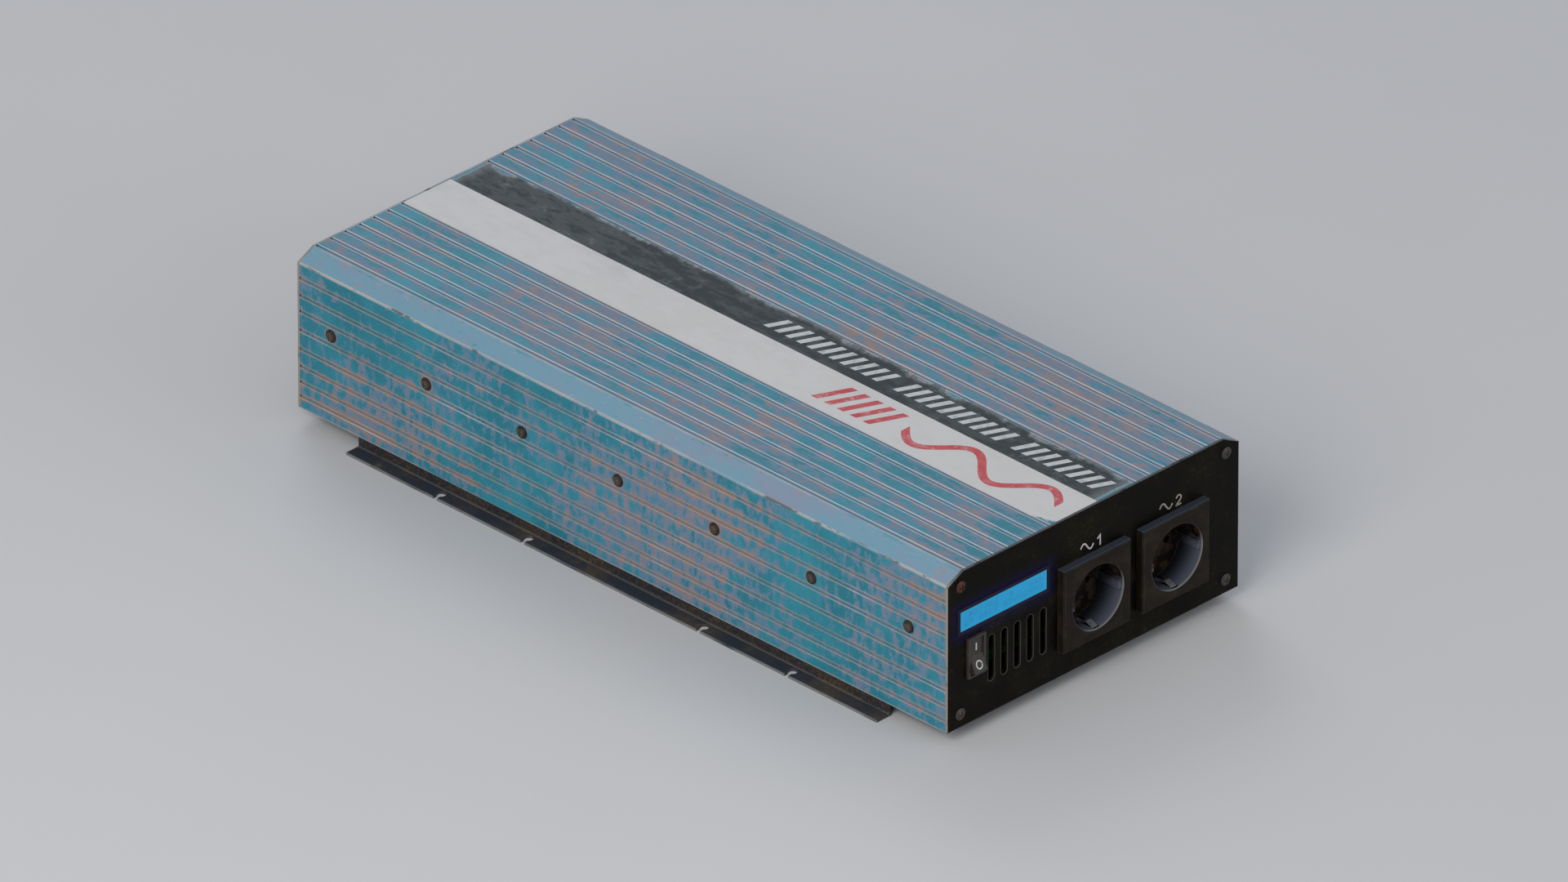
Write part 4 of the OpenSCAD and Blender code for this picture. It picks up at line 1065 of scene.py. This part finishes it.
def threaded_rod(bm, x, z, outer, pitch, start, end):
    """A rod along Y with a helical thread and a chamfered tip."""
    around, per_turn, tip = 40, 10, 1.2
    rows = []
    count = round((end - start) / pitch * per_turn)
    for i in range(count + 1):
        y = start + (end - start) * i / count
        limit = outer - max(0.0, tip - (end - y))
        row = []
        for j in range(around):
            turn = j / around
            r = min(limit, thread_radius(outer, pitch, y - start, turn))
            angle = math.tau * turn
            row.append(bm.verts.new((x + r * math.cos(angle), y, z + r * math.sin(angle))))
        rows.append(row)
    for a, b in zip(rows, rows[1:]):
        for j in range(around):
            bm.faces.new((a[j], a[(j + 1) % around], b[(j + 1) % around], b[j]))
    bm.faces.new(rows[0])
    bm.faces.new(rows[-1])


def studs():
    """Threaded battery studs and earth stud, in place of the plain CAD ones."""
    low, high = corners("terminal_studs")
    outer = (high.z - low.z) / 2
    bm = bmesh.new()
    for x in (low.x + outer, high.x - outer):
        threaded_rod(bm, x, (low.z + high.z) / 2, outer - STUD_CLEARANCE, 1.25, low.y, high.y)
    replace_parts(mesh_piece("battery_studs", bm, "brass", "case"), "terminal_studs")
    low, high = corners("ground_stud")
    outer = (high.z - low.z) / 2
    bm = bmesh.new()
    centre, level = (low.x + high.x) / 2, (low.z + high.z) / 2
    threaded_rod(bm, centre, level, outer - STUD_CLEARANCE, 1.0, low.y, high.y)
    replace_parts(mesh_piece("earth_stud", bm, "brass", "case"), "ground_stud")


# ---- camera, light and floor ----

def camera():
    """A long lens, 30 degrees up, that shows the front, the left side and the top."""
    lens, sensor, picture_width = 900.0, 36.0, 0.864
    level = math.sqrt(0.375)
    forward = Vector((level, level, -0.5))
    right = forward.cross(Vector((0, 0, 1))).normalized()
    up = right.cross(forward)
    corner = Vector((SHELL_LOW.x, FRONT, BOTTOM))
    aside, above = 89.1, 159.75
    aim = (corner - aside * right + above * up) * MM
    middle_depth = forward.dot((cad_box[0] + cad_box[1]) / 2 - aim)
    data = bpy.data.cameras.new("camera")
    data.lens, data.sensor_width = lens, sensor
    data.clip_start, data.clip_end = 1.0, 60.0
    made = bpy.data.objects.new("camera", data)
    made.location = aim - forward * (picture_width * lens / sensor - middle_depth)
    made.rotation_euler = forward.to_track_quat("-Z", "Y").to_euler()
    bpy.context.scene.collection.objects.link(made)
    bpy.context.scene.camera = made


def area_light(name, place, size, watts, tone=(1, 1, 1)):
    """A square light in metres, aimed at the object, which the camera doesn't see."""
    data = bpy.data.lights.new(name, "AREA")
    data.size, data.energy, data.color = size, watts, tone
    made = bpy.data.objects.new(name, data)
    made.location = place
    made.rotation_euler = (-Vector(place)).to_track_quat("-Z", "Y").to_euler()
    made.visible_camera = False
    bpy.context.scene.collection.objects.link(made)


def studio():
    """A pale floor under soft light from above, the left and the front."""
    bm = bmesh.new()
    bmesh.ops.create_grid(bm, x_segments=1, y_segments=1, size=20)
    mesh = bpy.data.meshes.new("floor")
    bm.to_mesh(mesh)
    bm.free()
    floor = bpy.data.objects.new("floor", mesh)
    bpy.context.scene.collection.objects.link(floor)
    g = Graph("pale_floor")
    pale = g.tint(g.noise(400, detail=3), (0.60, 0.60, 0.61, 1), (0.64, 0.64, 0.65, 1))
    mesh.materials.append(g.finish(pale, 0.85))
    world = bpy.data.worlds.new("sky")
    world.use_nodes = True
    backdrop = world.node_tree.nodes["Background"]
    backdrop.inputs["Color"].default_value = (0.86, 0.90, 0.96, 1)
    backdrop.inputs["Strength"].default_value = 0.4
    bpy.context.scene.world = world
    area_light("key", (-2.2, -0.9, 1.7), 1.6, 44, (1.0, 0.97, 0.94))
    area_light("front_fill", (0.9, -2.6, 1.2), 1.6, 12, (0.92, 0.96, 1.0))
    area_light("back_rim", (1.2, 2.0, 1.9), 1.4, 16, (0.92, 0.96, 1.0))
    bpy.context.scene.view_settings.view_transform = "Standard"


camera()
studio()
finish_nodes()
socket_labels()
rocker_marks()
post_marks()
studs()
